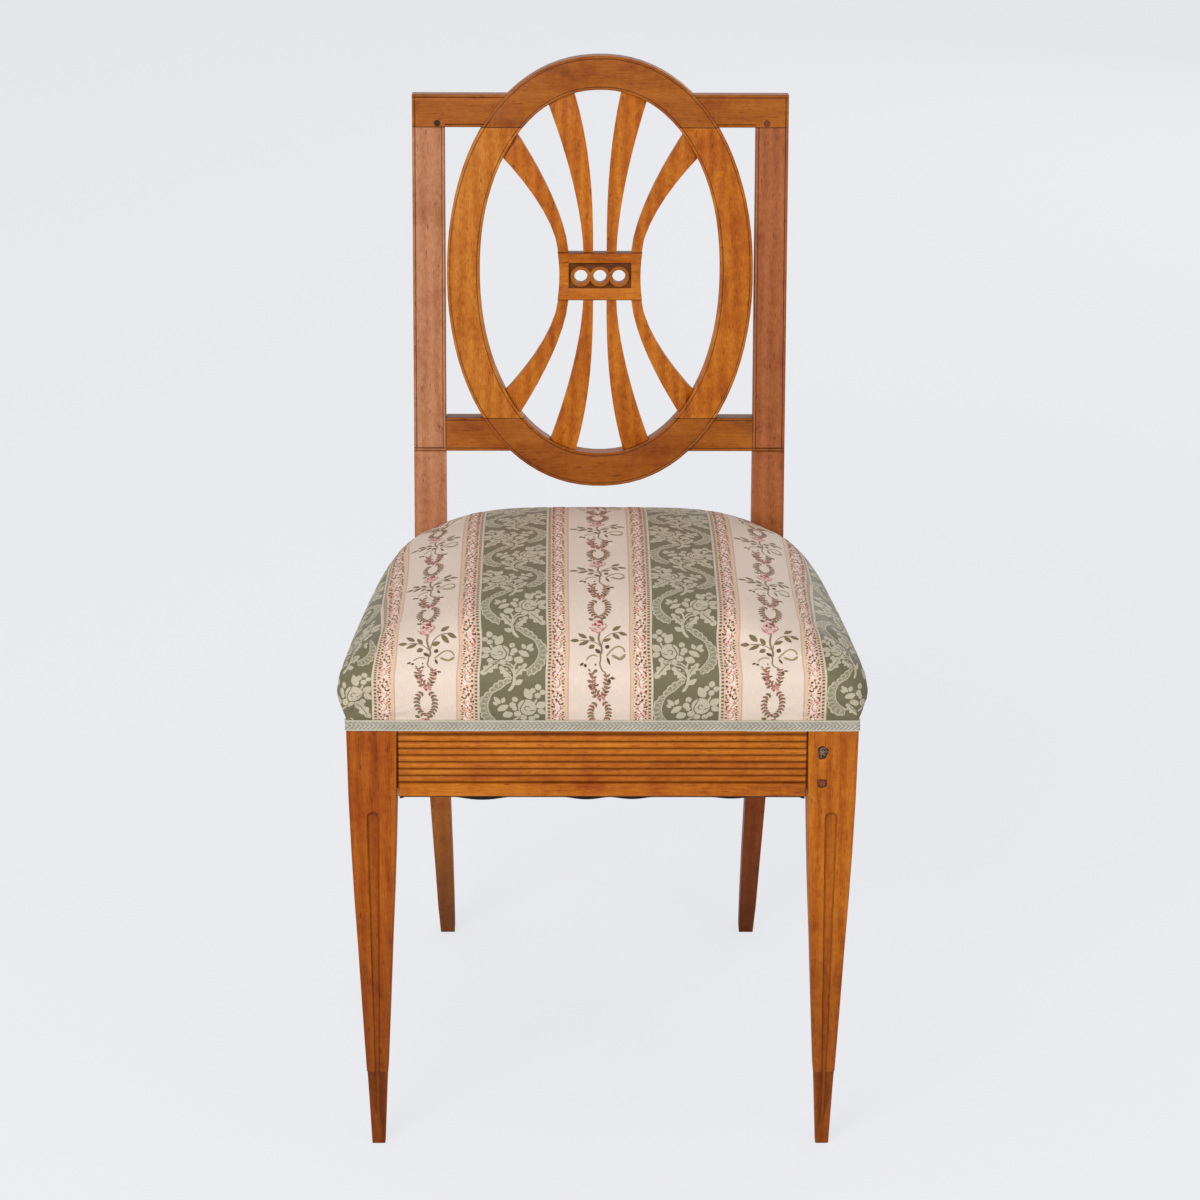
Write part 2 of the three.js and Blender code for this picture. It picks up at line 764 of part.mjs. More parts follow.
function ovalMortise(side) {
  const xs = grown(ovalTenonXs, jointGap).map((x) => side * x);
  return block(xs, grown(ovalTenonSpan, jointGap), grown(backTenonV, jointGap));
}

function crestRailBody(band, splatMortises) {
  const board = block([-stileOuter, stileOuter], [crestBottom, backHeight], [-backThickness, 0]);
  const corners = [
    [-stileOuter, crestBottom],
    [-stileOuter, backHeight],
    [stileOuter, backHeight],
    [stileOuter, crestBottom],
  ];
  const beads = [
    beadCutter(corners[1], corners[2], [0, -1]),
    beadCutter(corners[0], corners[1], [1, 0]),
    beadCutter(corners[3], corners[2], [-1, 0]),
    beadCutter([-stileInner, crestBottom], [stileInner, crestBottom], [0, 1]),
  ].map(solid);
  const arch = band.intersect(slabBetween(crestBottom, ovalCentre + ovalHalfHeight + cutOver));
  const mortises = [];
  for (const side of [-1, 1]) {
    const xs = grown(stileTenonX, jointGap).map((x) => side * x);
    const rise = [crestBottom - cutOver, crestBottom + stileTenonHeight + jointGap];
    mortises.push(block(xs, rise, grown(backTenonV, jointGap)));
    mortises.push(ovalMortise(side));
  }
  const pegUp = crestBottom + crestPegRise;
  mortises.push(backPegBar(-crestPegX.left, pegUp, backPegRadius + jointGap, cutOver));
  mortises.push(backPegBar(crestPegX.right, pegUp, backPegRadius + jointGap, cutOver));
  return cut(cut(board, [ovalMiddle(), ...beads]).add(arch), [...mortises, ...splatMortises]);
}

function lowerRailBody(band, splatMortises) {
  const half = stileInner - jointGap;
  const board = block([-half, half], [lowerRailStart, lowerRailTop], [-backThickness, 0]);
  const beads = [
    beadCutter([-half, lowerRailTop], [half, lowerRailTop], [0, -1]),
    beadCutter([-half, lowerRailStart], [half, lowerRailStart], [0, 1]),
  ].map(solid);
  const bow = band.intersect(slabBetween(ovalCentre - ovalHalfHeight - cutOver, lowerRailTop));
  const tenons = [-1, 1].map((side) => {
    const reach = stileInner + lowerTenonLength;
    return block([side * (half - lowerTenonLength), side * reach].sort(byValue), lowerTenonS, backTenonV);
  });
  const pegUp = lowerRailTop - lowerPegDrop;
  const holes = [-1, 1].map((side) => backPegBar(side * lowerPegX, pegUp, backPegRadius + jointGap, cutOver));
  const rail = join([cut(board, [ovalMiddle(), ...beads]), bow, ...tenons]);
  return cut(rail, [ovalMortise(-1), ovalMortise(1), ...holes, ...splatMortises]);
}

function byValue(a, b) {
  return a - b;
}

function ovalSideBody(band, side, splatMortises) {
  const half = block(
    [0, side * ovalHalfHeight].sort(byValue),
    [lowerRailTop + jointGap, crestBottom - jointGap],
    [-backThickness - cutOver, ovalProud + cutOver],
  );
  const xs = ovalTenonXs.map((x) => side * x);
  const ends = block(xs, ovalTenonSpan, backTenonV);
  const roots = ovalTenonLength;
  const middle = slabBetween(lowerRailTop + roots, crestBottom - roots);
  return cut(band.intersect(half).add(ends.subtract(middle)), splatMortises);
}

// Splats: each edge leaves the plaque and flares out as a power of the way along.

function splatEdge({ start, flare, power }, along, inset) {
  const way = Math.max(along, 0) / splatReach;
  return start + flare * way ** power + inset;
}

function splatOutline(splat, side, end, inset, below) {
  const root = end > 0 ? plaqueTop : plaqueBottom;
  const length = splatRun + plaqueDrop + stubLength + below;
  const inside = [];
  const outside = [];
  for (let i = 0; i <= splatSteps; i++) {
    const along = (length * i) / splatSteps - below;
    const place = root + end * along;
    inside.push([side * splatEdge(splat.inside, along, inset), place]);
    outside.push([side * splatEdge(splat.outside, along, -inset), place]);
  }
  return [...inside, ...outside.reverse()];
}

function splatBody(splat, side, end) {
  const face = prism(splatOutline(splat, side, end, 0, -jointGap), splatFace - splatThickness, splatFace);
  const opening = prism(
    ovalOutline(ovalInnerX - jointGap, ovalInnerS - jointGap),
    -backThickness,
    ovalProud,
  );
  return face.intersect(opening).add(splatStub(splat, side, end, 0));
}

function splatStub(splat, side, end, gap) {
  const middle = splatFace - splatThickness / 2;
  const reach = stubLength + gap;
  const half = stubThickness / 2 + gap;
  const shape = splatOutline(splat, side, end, stubInset - gap, reach);
  const socket = prism(ovalOutline(ovalInnerX + reach, ovalInnerS + reach), -backThickness, ovalProud);
  return prism(shape, middle - half, middle + half).intersect(socket);
}

function plaqueBody(splatMortises) {
  const side = [];
  for (let i = 0; i <= plaqueEndSteps; i++) {
    const way = (2 * i) / plaqueEndSteps - 1;
    const x = plaqueHalfWidth - plaqueWaist * (1 - way * way);
    side.push([x, plaqueMiddle + (way * plaqueHeight) / 2]);
  }
  const back = plaqueFace - plaqueThickness;
  const slab = prism(bothHalves(side), back, plaqueFace);
  const recessLow = plaqueMiddle + recessRise - recessHeight / 2;
  const recess = block(
    [-recessHalfWidth, recessHalfWidth],
    [recessLow, recessLow + recessHeight],
    [plaqueFace - recessDepth, plaqueFace + cutOver],
  );
  const eyes = [-1, 0, 1].map((place) => place * eyeSpacing);
  const centre = (x, out) => new THREE.Vector3(x, plaqueMiddle, out);
  const bar = (x, radius, from, to) => roundBar(radius, eyeSides, centre(x, from), centre(x, to), axisZ);
  const rings = eyes.map((x) => bar(x, eyeRingRadius, back + recessDepth, plaqueFace - eyeRingSink));
  const holes = eyes.map((x) => bar(x, eyeRadius, back - cutOver, plaqueFace + cutOver));
  return cut(join([slab.subtract(recess), ...rings]), [...holes, ...splatMortises]);
}

// Corner blocks: fill the corner between two rails and fit round the leg.

const blockHeights = [railBottom + blockRise, railBottom + blockRise + blockHeight];

function frontBlockBody() {
  const rail = frontRailBack + jointGap;
  const legSide = legInner - jointGap;
  const legBack = legWidth + jointGap;
  const inside = (y) => sideX(y) - railThickness - jointGap;
  return prism(
    [
      [legSide - blockReach, rail],
      [legSide, rail],
      [legSide, legBack],
      [inside(legBack), legBack],
      [inside(legBack + blockReach), legBack + blockReach],
    ],
    ...blockHeights,
  );
}

function rearBlockBody() {
  const rail = rearRailFront - jointGap;
  const legSide = stileInner - jointGap;
  const legFront = rearLegFront - jointGap;
  const inside = (y) => sideX(y) - railThickness - jointGap;
  return prism(
    [
      [legSide - blockReach, rail],
      [inside(legFront - blockReach), legFront - blockReach],
      [inside(legFront), legFront],
      [legSide, legFront],
      [legSide, rail],
    ],
    ...blockHeights,
  );
}

// Webbing: the cross straps lie flat, and the lengthways straps weave over and under them.

function crossStrapBody(y) {
  const half = strapWidth / 2;
  const reach = (at) => sideX(at) - rebateDepth - strapEndInset;
  const edge = [
    [reach(y - half), y - half],
    [reach(y + half), y + half],
  ];
  return prism(bothHalves(edge), strapLow, strapLow + strapThickness);
}

function lengthStrapBody(x, overFirst) {
  const half = strapWidth / 2;
  const line = [[rebateDepth + strapEndInset, 0]];
  crossStrapsY.forEach((y, i) => {
    const level = (i % 2 === 0) === overFirst ? strapLevel : -strapLevel;
    const past = half + jointGap;
    line.push([y - past - strapRamp, 0], [y - past, level], [y + past, level], [y + past + strapRamp, 0]);
  });
  line.push([rearRailBack - rebateDepth - strapEndInset, 0]);
  const low = line.map(([y, rise]) => [y, strapLow + rise]);
  const high = line.map(([y, rise]) => [y, strapLow + rise + strapThickness]);
  return crossPrism([...low, ...high.reverse()], x - half, x + half);
}

// The seat's plan, drawn in from the faces of the rails and notched round the rear legs.
function notchedPlan(inset, legClear) {
  const back = rearRailBack - inset;
  const legFront = rearLegFront - legClear;
  return bothHalves([
    [sideX(inset) - inset, inset],
    [sideX(legFront) - inset, legFront],
    [stileInner - legClear, legFront],
    [stileInner - legClear, back],
  ]);
}

function hessianBody() {
  const points = notchedPlan(rebateDepth + hessianInset, clothGap);
  return prism(points, hessianLow, hessianLow + hessianThickness);
}

// Seat: rounded outlines rise from the hem, swell over the rails and close in a low dome.

function sideBulge(y) {
  const way = y / rearRailBack;
  const { front, middle, rear } = bulgeSides;
  const bend = 2 * (front + rear - 2 * middle);
  return front + (rear - front - bend) * way + bend * way * way;
}

function seatHalf(bulge, round, inset) {
  const front = inset - bulge * bulgeFront;
  const back = rearRailBack - inset + bulge * bulgeRear;
  const side = (y) => sideX(y) + bulge * sideBulge(y) - inset;
  const frontCentre = [side(front + round) - round, front + round];
  const backCentre = [side(back - round) - round, back - round];
  const half = [];
  for (let i = 0; i < frontSteps; i++) half.push([(frontCentre[0] * (i + 1 / 2)) / frontSteps, front]);
  addArc(half, frontCentre, round, -Math.PI / 2);
  for (let i = 1; i < sideSteps; i++) {
    const y = frontCentre[1] + ((backCentre[1] - frontCentre[1]) * i) / sideSteps;
    half.push([side(y), y]);
  }
  addArc(half, backCentre, round, 0);
  for (let i = rearSteps - 1; i >= 0; i--) half.push([(backCentre[0] * (i + 1 / 2)) / rearSteps, back]);
  return half;
}

function addArc(points, [x, y], radius, start) {
  for (let i = 0; i <= cornerSteps; i++) {
    const turn = start + (i * Math.PI) / 2 / cornerSteps;
    points.push([x + radius * Math.cos(turn), y + radius * Math.sin(turn)]);
  }
}

// Rings from the hem to the crown. Thickness moves the form inwards and down.
function seatRings(thickness) {
  const rings = [];
  const rise = shoulderHeight - hemHeight;
  const dropAt = (x, y, share) => {
    const back = Math.max(y - seatMiddle, 0) / (rearRailBack - seatMiddle);
    const out = Math.abs(x) / sideX(y);
    return share * back * back * (rearDrop + cornerDrop * out ** cornerDropPower);
  };
  for (const [height, bulge, round] of seatLevelShares) {
    const flat = bothHalves(seatHalf(bulge, round * cornerRound, hemInset + thickness));
    const settle = THREE.MathUtils.smoothstep(height, seatLevelShares[1][0], 1);
    const ring = flat.map(([x, y]) => {
      const z = hemHeight + jointGap + height * (rise - jointGap) - settle * thickness;
      return new THREE.Vector3(x, y, z - dropAt(x, y, settle));
    });
    rings.push(ring);
  }
  const shoulder = rings.at(-1);
  const top = new THREE.Vector3(0, seatMiddle, crownHeight - thickness);
  for (const share of domeShares) {
    const ring = shoulder.map((point) => {
      const place = top.clone().lerp(point, share);
      place.z = top.z - (top.z - point.z) * share ** domePower;
      return place;
    });
    rings.push(ring);
  }
  rings.push([top]);
  return rings;
}

// The room that a rear leg takes in the seat.
function rearLegRoom(side) {
  const clear = clothGap;
  const far = rearLegBack + rearLegDepth;
  const high = backBaseZ;
  const profile = [
    [rearLegFront - clear, railBottom],
    [rearLegFront - clear, rakeStart],
    [backBaseY - clear, high],
    [far, high],
    [far, railBottom],
  ];
  const xs = [side * (stileInner - clear), side * (frontHalfWidth + bulgeSides.middle)].sort(byValue);
  return crossPrism(profile, ...xs);
}

// The same form with straight sides added below the hem, so that it cuts clean.
function seatCore(thickness) {
  const rings = seatRings(thickness);
  const skirt = rings[0].map(({ x, y, z }) => new THREE.Vector3(x, y, z - cutOver));
  return loft([skirt, ...rings]);
}

function padBody() {
  const form = seatCore(coverThickness + clothGap);
  const above = block(
    [-frontHalfWidth * 2, frontHalfWidth * 2],
    [-rearRailBack, rearRailBack * 2],
    [padLow, crownHeight],
  );
  return cut(form.intersect(above), [rearLegRoom(-1), rearLegRoom(1)]);
}

function coverBody() {
  const form = loft(seatRings(0));
  return cut(form, [seatCore(coverThickness), rearLegRoom(-1), rearLegRoom(1)]);
}

// Braid: covers the hem and its tacks, round three sides and across the back.

const braidHeights = [hemHeight + jointGap, hemHeight + jointGap + braidHeight];

function braidHalf(inset, end) {
  const round = braidCorner - inset;
  const side = (y) => sideX(y) - inset;
  const half = [];
  addArc(half, [side(inset + round) - round, inset + round], round, -Math.PI / 2);
  half.push([side(end), end]);
  return half;
}

function frontBraidBody() {
  const end = rearLegFront - jointGap;
  const inset = hemInset - jointGap;
  const outer = braidHalf(inset - braidThickness, end);
  const inner = braidHalf(inset, end);
  const outerLine = [...mirrored(outer).reverse(), ...outer];
  const innerLine = [...mirrored(inner).reverse(), ...inner];
  return prism([...outerLine, ...innerLine.reverse()], ...braidHeights);
}

function rearBraidBody() {
  const half = stileInner - jointGap;
  const front = rearRailBack - hemInset + jointGap;
  return block([-half, half], [front, front + braidThickness], braidHeights);
}

function dustCoverBody() {
  const clear = dustInset / 2;
  const legBack = legWidth + clear;
  const legFront = rearLegFront - clear;
  const half = [
    [legInner - clear, dustInset],
    [legInner - clear, legBack],
    [sideX(legBack) - dustInset, legBack],
    [sideX(legFront) - dustInset, legFront],
    [stileInner - clear, legFront],
    [stileInner - clear, rearRailBack - dustInset],
  ];
  const top = railBottom - jointGap;
  return prism(bothHalves(half), top - dustThickness, top);
}

// Finishes
const fruitwood = { color: "#a8621f", roughness: 0.38, metalness: 0 };
const redderWood = { color: "#98521f", roughness: 0.4, metalness: 0 };
const blockWood = { color: "#b98d57", roughness: 0.7, metalness: 0 };
const darkPeg = { color: "#3a2213", roughness: 0.5, metalness: 0 };
const webbingCloth = { color: "#b49a6c", roughness: 0.9, metalness: 0 };
const hessianCloth = { color: "#9c7f52", roughness: 0.95, metalness: 0 };
const stuffing = { color: "#d8cdb4", roughness: 1, metalness: 0 };
const coverCloth = { color: "#b9b295", roughness: 0.6, metalness: 0 };
const braidCloth = { color: "#a9b3a0", roughness: 0.7, metalness: 0 };
const dustCloth = { color: "#1d1b1a", roughness: 0.95, metalness: 0 };

const seatGroup = new THREE.Group();
const backGroup = new THREE.Group();
backGroup.applyMatrix4(backFrame);

function add(group, name, body, finish) {
  const mesh = new THREE.Mesh(geometryOf(body), new THREE.MeshStandardMaterial(finish));
  mesh.name = name;
  group.add(mesh);
}

function mirrorX(body) {
  const geometry = geometryOf(body).toNonIndexed();
  const place = geometry.getAttribute("position");
  for (let i = 0; i < place.count; i += 3) {
    const first = new THREE.Vector3().fromBufferAttribute(place, i);
    const second = new THREE.Vector3().fromBufferAttribute(place, i + 1);
    const third = new THREE.Vector3().fromBufferAttribute(place, i + 2);
    place.setXYZ(i, -first.x, first.y, first.z);
    place.setXYZ(i + 1, -third.x, third.y, third.z);
    place.setXYZ(i + 2, -second.x, second.y, second.z);
  }
  return solid(geometry);
}

function addSeatFrame() {
  add(seatGroup, "front_leg_right", frontLegBody(true), fruitwood);
  add(seatGroup, "front_leg_left", mirrorX(frontLegBody(false)), fruitwood);
  add(seatGroup, "front_rail", frontRailBody(), fruitwood);
  add(seatGroup, "rear_rail", rearRailBody(), fruitwood);
  add(seatGroup, "side_rail_right", sideRailBody(), fruitwood);
  add(seatGroup, "side_rail_left", mirrorX(sideRailBody()), fruitwood);
  add(seatGroup, "corner_block_front_right", frontBlockBody(), blockWood);
  add(seatGroup, "corner_block_front_left", mirrorX(frontBlockBody()), blockWood);
  add(seatGroup, "corner_block_rear_right", rearBlockBody(), blockWood);
  add(seatGroup, "corner_block_rear_left", mirrorX(rearBlockBody()), blockWood);
  const places = ["upper", "lower"];
  legPegHeights.forEach((height, i) => {
    add(seatGroup, `front_leg_peg_${places[i]}`, legPegBar(height, legPegRadius, 0), darkPeg);
  });
}

function addRearLegs() {
  add(seatGroup, "rear_leg_right", rearLegBody(crestPegX.right), redderWood);
  add(seatGroup, "rear_leg_left", mirrorX(rearLegBody(crestPegX.left)), redderWood);
}

function splatShape(row, place, hand) {
  if (place === "outer") return outerSplat;
  return row === "upper" && hand === "right" ? straighterSplat : innerSplat;
}

function addBack() {
  const band = ovalBand();
  const mortises = [];
  for (const [row, end] of [["upper", 1], ["lower", -1]]) {
    for (const place of ["inner", "outer"]) {
      for (const [hand, side] of [["left", -1], ["right", 1]]) {
        const splat = splatShape(row, place, hand);
        mortises.push(splatStub(splat, side, end, jointGap));
        add(backGroup, `splat_${row}_${place}_${hand}`, splatBody(splat, side, end), fruitwood);
      }
    }
  }
  add(backGroup, "splat_plaque", plaqueBody(mortises), fruitwood);
  add(backGroup, "crest_rail", crestRailBody(band, mortises), fruitwood);
  add(backGroup, "lower_back_rail", lowerRailBody(band, mortises), fruitwood);
  for (const [hand, side] of [["left", -1], ["right", 1]]) {
    add(backGroup, `oval_side_${hand}`, ovalSideBody(band, side, mortises), fruitwood);
    const crestX = side * crestPegX[hand];
    const crestPeg = backPegBar(crestX, crestBottom + crestPegRise, backPegRadius, 0);
    add(backGroup, `crest_peg_${hand}`, crestPeg, darkPeg);
    const lowerPeg = backPegBar(side * lowerPegX, lowerRailTop - lowerPegDrop, backPegRadius, 0);
    add(backGroup, `lower_rail_peg_${hand}`, lowerPeg, fruitwood);
  }
}

function addSeat() {
  const lengthPlaces = ["left", "middle", "right"];
  lengthStrapsX.forEach((x, i) => {
    add(seatGroup, `webbing_long_${lengthPlaces[i]}`, lengthStrapBody(x, i % 2 === 0), webbingCloth);
  });
  const crossPlaces = ["front", "middle", "rear"];
  crossStrapsY.forEach((y, i) => {
    add(seatGroup, `webbing_cross_${crossPlaces[i]}`, crossStrapBody(y), webbingCloth);
  });
  add(seatGroup, "seat_hessian", hessianBody(), hessianCloth);
  add(seatGroup, "seat_stuffing", padBody(), stuffing);
  add(seatGroup, "seat_cover", coverBody(), coverCloth);
  add(seatGroup, "braid_front_and_sides", frontBraidBody(), braidCloth);
  add(seatGroup, "braid_back", rearBraidBody(), braidCloth);
  add(seatGroup, "dust_cover", dustCoverBody(), dustCloth);
}

addSeatFrame();
addRearLegs();
addBack();
addSeat();

// The origin is on the floor, under the middle of the chair's own box.
const chair = new THREE.Group();
const pieces = new THREE.Group();
pieces.add(seatGroup, backGroup);
chair.add(pieces);
const extent = new THREE.Box3().setFromObject(pieces, true);
const centre = extent.getCenter(new THREE.Vector3());
pieces.position.set(-centre.x, -centre.y, -extent.min.z);

export default chair;
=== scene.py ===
import math

import bmesh
import bpy
import numpy as np
from mathutils import Matrix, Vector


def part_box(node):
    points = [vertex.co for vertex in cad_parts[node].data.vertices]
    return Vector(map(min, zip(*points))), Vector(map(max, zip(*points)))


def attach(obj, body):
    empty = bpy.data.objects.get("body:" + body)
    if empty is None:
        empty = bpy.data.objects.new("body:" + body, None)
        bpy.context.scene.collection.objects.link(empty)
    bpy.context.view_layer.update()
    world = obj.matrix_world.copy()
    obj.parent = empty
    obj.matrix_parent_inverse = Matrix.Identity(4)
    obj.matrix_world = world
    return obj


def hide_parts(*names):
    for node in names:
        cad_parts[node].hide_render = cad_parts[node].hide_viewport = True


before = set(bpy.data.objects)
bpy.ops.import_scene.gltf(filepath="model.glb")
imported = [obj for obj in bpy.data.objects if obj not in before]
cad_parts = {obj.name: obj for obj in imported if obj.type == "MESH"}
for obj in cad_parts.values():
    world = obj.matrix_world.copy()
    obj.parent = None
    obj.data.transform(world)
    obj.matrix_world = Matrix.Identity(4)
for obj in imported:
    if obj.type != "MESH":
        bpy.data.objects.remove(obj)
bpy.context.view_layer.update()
print("frame loaded")

mm = 0.001
# Sizes in the dictionaries are millimetres in the chair's own frame, where Y is 0 at the faces of the front legs.
railSetback = 1.5
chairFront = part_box("front_rail")[0][1] / mm - railSetback


def inMetres(points):
    # millimetres in the chair's frame to metres in the shared frame
    points = np.asarray(points, float)
    return (points + np.array([0, chairFront, 0])) * mm


def linear(hexColour):
    # an sRGB hex value to linear red, green, blue
    parts = np.array([int(hexColour[i:i + 2], 16) for i in (1, 3, 5)]) / 255
    bright = ((parts + 0.055) / 1.055) ** 2.4
    return (*np.where(parts <= 0.04045, parts / 12.92, bright), 1.0)


def addNode(tree, kind, inputs=None, **settings):
    # one node, with its settings, and its sockets set to a value or linked
    node = tree.nodes.new(kind)
    for name, value in settings.items():
        setattr(node, name, value)
    for name, value in (inputs or {}).items():
        if isinstance(value, bpy.types.NodeSocket):
            tree.links.new(value, node.inputs[name])
        else:
            node.inputs[name].default_value = value
    return node


def ringFaces(rows, columns, start=0):
    # quads of a grid that closes on itself sideways
    row, column = np.meshgrid(np.arange(rows - 1), np.arange(columns), indexing="ij")
    low, after = row * columns, (column + 1) % columns
    high = low + columns
    return np.stack([low + column, low + after, high + after, high + column], -1).reshape(-1, 4) + start


def gridFaces(rows, columns):
    # quads of an open grid
    row, column = np.meshgrid(np.arange(rows - 1), np.arange(columns - 1), indexing="ij")
    first = (row * columns + column).ravel()
    return np.stack([first, first + 1, first + columns + 1, first + columns], -1)


def fanFaces(ring, apex, inward=False):
    # triangles from each side of a closed ring of point numbers to one point
    after = np.roll(ring, -1)
    first, second = (after, ring) if inward else (ring, after)
    return np.stack([first, second, np.full(len(ring), apex)], -1)


def runAlong(line):
    # the distance of each point of a line from its start, along the line
    return np.concatenate([[0], np.cumsum(np.linalg.norm(np.diff(line, axis=0), axis=1))])


def sidewaysOf(line):
    # unit directions to the left of a line in its own plane
    ahead = np.gradient(line, axis=0)
    return np.stack([-ahead[:, 1], ahead[:, 0]], -1) / np.linalg.norm(ahead, axis=1, keepdims=True)


def addObject(name, data):
    thing = bpy.data.objects.new(name, data)
    bpy.context.scene.collection.objects.link(thing)
    return thing


def paintPoints(mesh, name, values):
    # one value for each point, which a material reads as an attribute
    layer = mesh.attributes.new(name, "FLOAT", "POINT")
    layer.data.foreach_set("value", np.asarray(values, np.float32))


def colourSteps(tree, value, steps, interpolation="LINEAR"):
    # a colour ramp with its stops as (place, hex)
    ramp = addNode(tree, "ShaderNodeValToRGB", {"Fac": value})
    stops = ramp.color_ramp.elements
    while len(stops) < len(steps):
        stops.new(0.5)
    for stop, (place, hexColour) in zip(stops, steps):
        stop.position = place
        stop.color = linear(hexColour)
    ramp.color_ramp.interpolation = interpolation
    return ramp.outputs["Color"]


def maths(tree, operation, *values, clamp=False):
    node = addNode(tree, "ShaderNodeMath", dict(enumerate(values)), operation=operation, use_clamp=clamp)
    return node.outputs[0]


def blended(tree, mode, share, below, above):
    # two colours through a Mix node
    node = tree.nodes.new("ShaderNodeMix")
    node.data_type = "RGBA"
    node.blend_type = mode
    for socket, value in ((node.inputs[0], share), (node.inputs[6], below), (node.inputs[7], above)):
        if isinstance(value, bpy.types.NodeSocket):
            tree.links.new(value, socket)
        else:
            socket.default_value = value
    return node.outputs[2]


def newMaterial(name, **surface):
    # a material with its shader's own sockets set to plain values
    material = bpy.data.materials.new(name)
    material.use_nodes = True
    tree = material.node_tree
    shader = tree.nodes["Principled BSDF"]
    for socket, value in surface.items():
        shader.inputs[socket].default_value = value
    return material, tree, shader


def finishSurface(tree, shader, colour, height, strength, distance):
    # links the colour, and a bump from the height, whose distance is in metres
    tree.links.new(colour, shader.inputs["Base Color"])
    bump = addNode(tree, "ShaderNodeBump", {"Height": height, "Strength": strength, "Distance": distance})
    tree.links.new(bump.outputs[0], shader.inputs["Normal"])


# Wood

# sizes of the figure in metres
fruitwood = {
    "dark": "#76350A", "middle": "#AE5B0C", "light": "#CE7D20", "stained": "#96704C",
    "fibre": 0.0009, "figure": 0.014, "mottle": 0.005, "ring": 0.006, "pore": 0.0004, "fleck": 0.0016, "cloud": 1 / 26,
    "fine": 0.045, "broad": 0.14, "roughness": 0.42, "shine": 0.15, "coat": 0.06, "coatRoughness": 0.25,
}


def makeWood(name, along, look):
    # Cherry or pear, planed, stained and waxed: fine even fibres, faint rings, a soft shine, dirt in the grooves, and
    # painted shade where a piece carries it.
    material, tree, shader = newMaterial(name, **{
        "Coat Weight": look["coat"], "Coat Roughness": look["coatRoughness"], "Specular IOR Level": look["shine"],
    })
    place = addNode(tree, "ShaderNodeTexCoord").outputs["Object"]
    # the figure is drawn out along the grain
    stretches = [[look[kind] if axis == along else 1.0 for axis in range(3)] for kind in ("fine", "broad")]
    fine, broad = (
        addNode(tree, "ShaderNodeMapping", {"Vector": place, "Scale": stretch}).outputs[0] for stretch in stretches
    )
    fibre, figure, pores, mottle, cloud, fleck = (
        addNode(tree, "ShaderNodeTexNoise", {"Vector": vector, "Scale": 1 / look[size], **inputs}).outputs[0]
        for size, vector, inputs in (
            ("fibre", fine, {"Detail": 4.0, "Roughness": 0.6}),
            ("figure", broad, {"Detail": 5.0, "Roughness": 0.55, "Distortion": 0.6}),
            ("pore", fine, {"Detail": 2.0}),
            ("mottle", place, {"Detail": 4.0, "Roughness": 0.65}),
            ("cloud", place, {"Detail": 3.0, "Roughness": 0.6}),
            ("fleck", broad, {"Detail": 1.0}),
        )
    )
    ring = addNode(
        tree, "ShaderNodeTexWave",
        {"Vector": broad, "Scale": 0.16 / look["ring"], "Distortion": 5.0, "Detail": 3.0, "Detail Scale": 1.2},
        wave_type="BANDS", bands_direction="XYZ"[(along + 1) % 3],
    ).outputs[1]
    tone = maths(tree, "MULTIPLY_ADD", fibre, 0.4, maths(tree, "MULTIPLY", figure, 0.32))
    tone = maths(tree, "MULTIPLY_ADD", mottle, 0.3, maths(tree, "MULTIPLY_ADD", ring, 0.1, tone))
    colour = colourSteps(tree, tone, [(0.33, look["dark"]), (0.52, look["middle"]), (0.74, look["light"])])
    inPore = maths(tree, "MULTIPLY", maths(tree, "SUBTRACT", pores, 0.62), 7.0, clamp=True)
    inPore = maths(tree, "SMOOTH_MIN", inPore, 1.0, 0.2)
    inCloud = maths(tree, "MULTIPLY", maths(tree, "SUBTRACT", cloud, 0.5, clamp=True), 2.2)
    inFleck = maths(tree, "MULTIPLY", maths(tree, "SUBTRACT", fleck, 0.66), 8.0, clamp=True)
    for share, shade in (
        (maths(tree, "MULTIPLY", inPore, 0.4), "#6A3A14"),
        (inCloud, "#C98A5A"),
        (maths(tree, "MULTIPLY", inFleck, 0.7), "#8A5A30"),
    ):
        colour = blended(tree, "MULTIPLY", share, colour, linear(shade))
    # the dark-mark attribute is 1 in the bottoms of grooves and joints and fades in a narrow line: dirt there, and
    # painted shade on the flutes' walls and under the braid; stain is a broad darkening, on the rear legs under the
    # seat a painted shade with a golden tone
    darkened, stain = (
        addNode(tree, "ShaderNodeAttribute", attribute_name=kind).outputs["Fac"] for kind in ("darkness", "stain")
    )
    byFibre = maths(tree, "MULTIPLY_ADD", fibre, 0.4, 0.62)
    dirtAndShade = maths(tree, "MULTIPLY", maths(tree, "POWER", darkened, 0.6), byFibre, clamp=True)
    # the dark share mixes dirt and painted shade into the colour
    colour = blended(tree, "MIX", dirtAndShade, colour, linear("#2A1206"))
    colour = blended(tree, "MULTIPLY", stain, colour, linear(look["stained"]))
    rough = maths(tree, "MULTIPLY_ADD", fibre, 0.16, look["roughness"] - 0.08)
    tree.links.new(rough, shader.inputs["Roughness"])
    finishSurface(tree, shader, colour, maths(tree, "MULTIPLY_ADD", inPore, -0.6, fibre), 0.12, 0.0003)
    return material


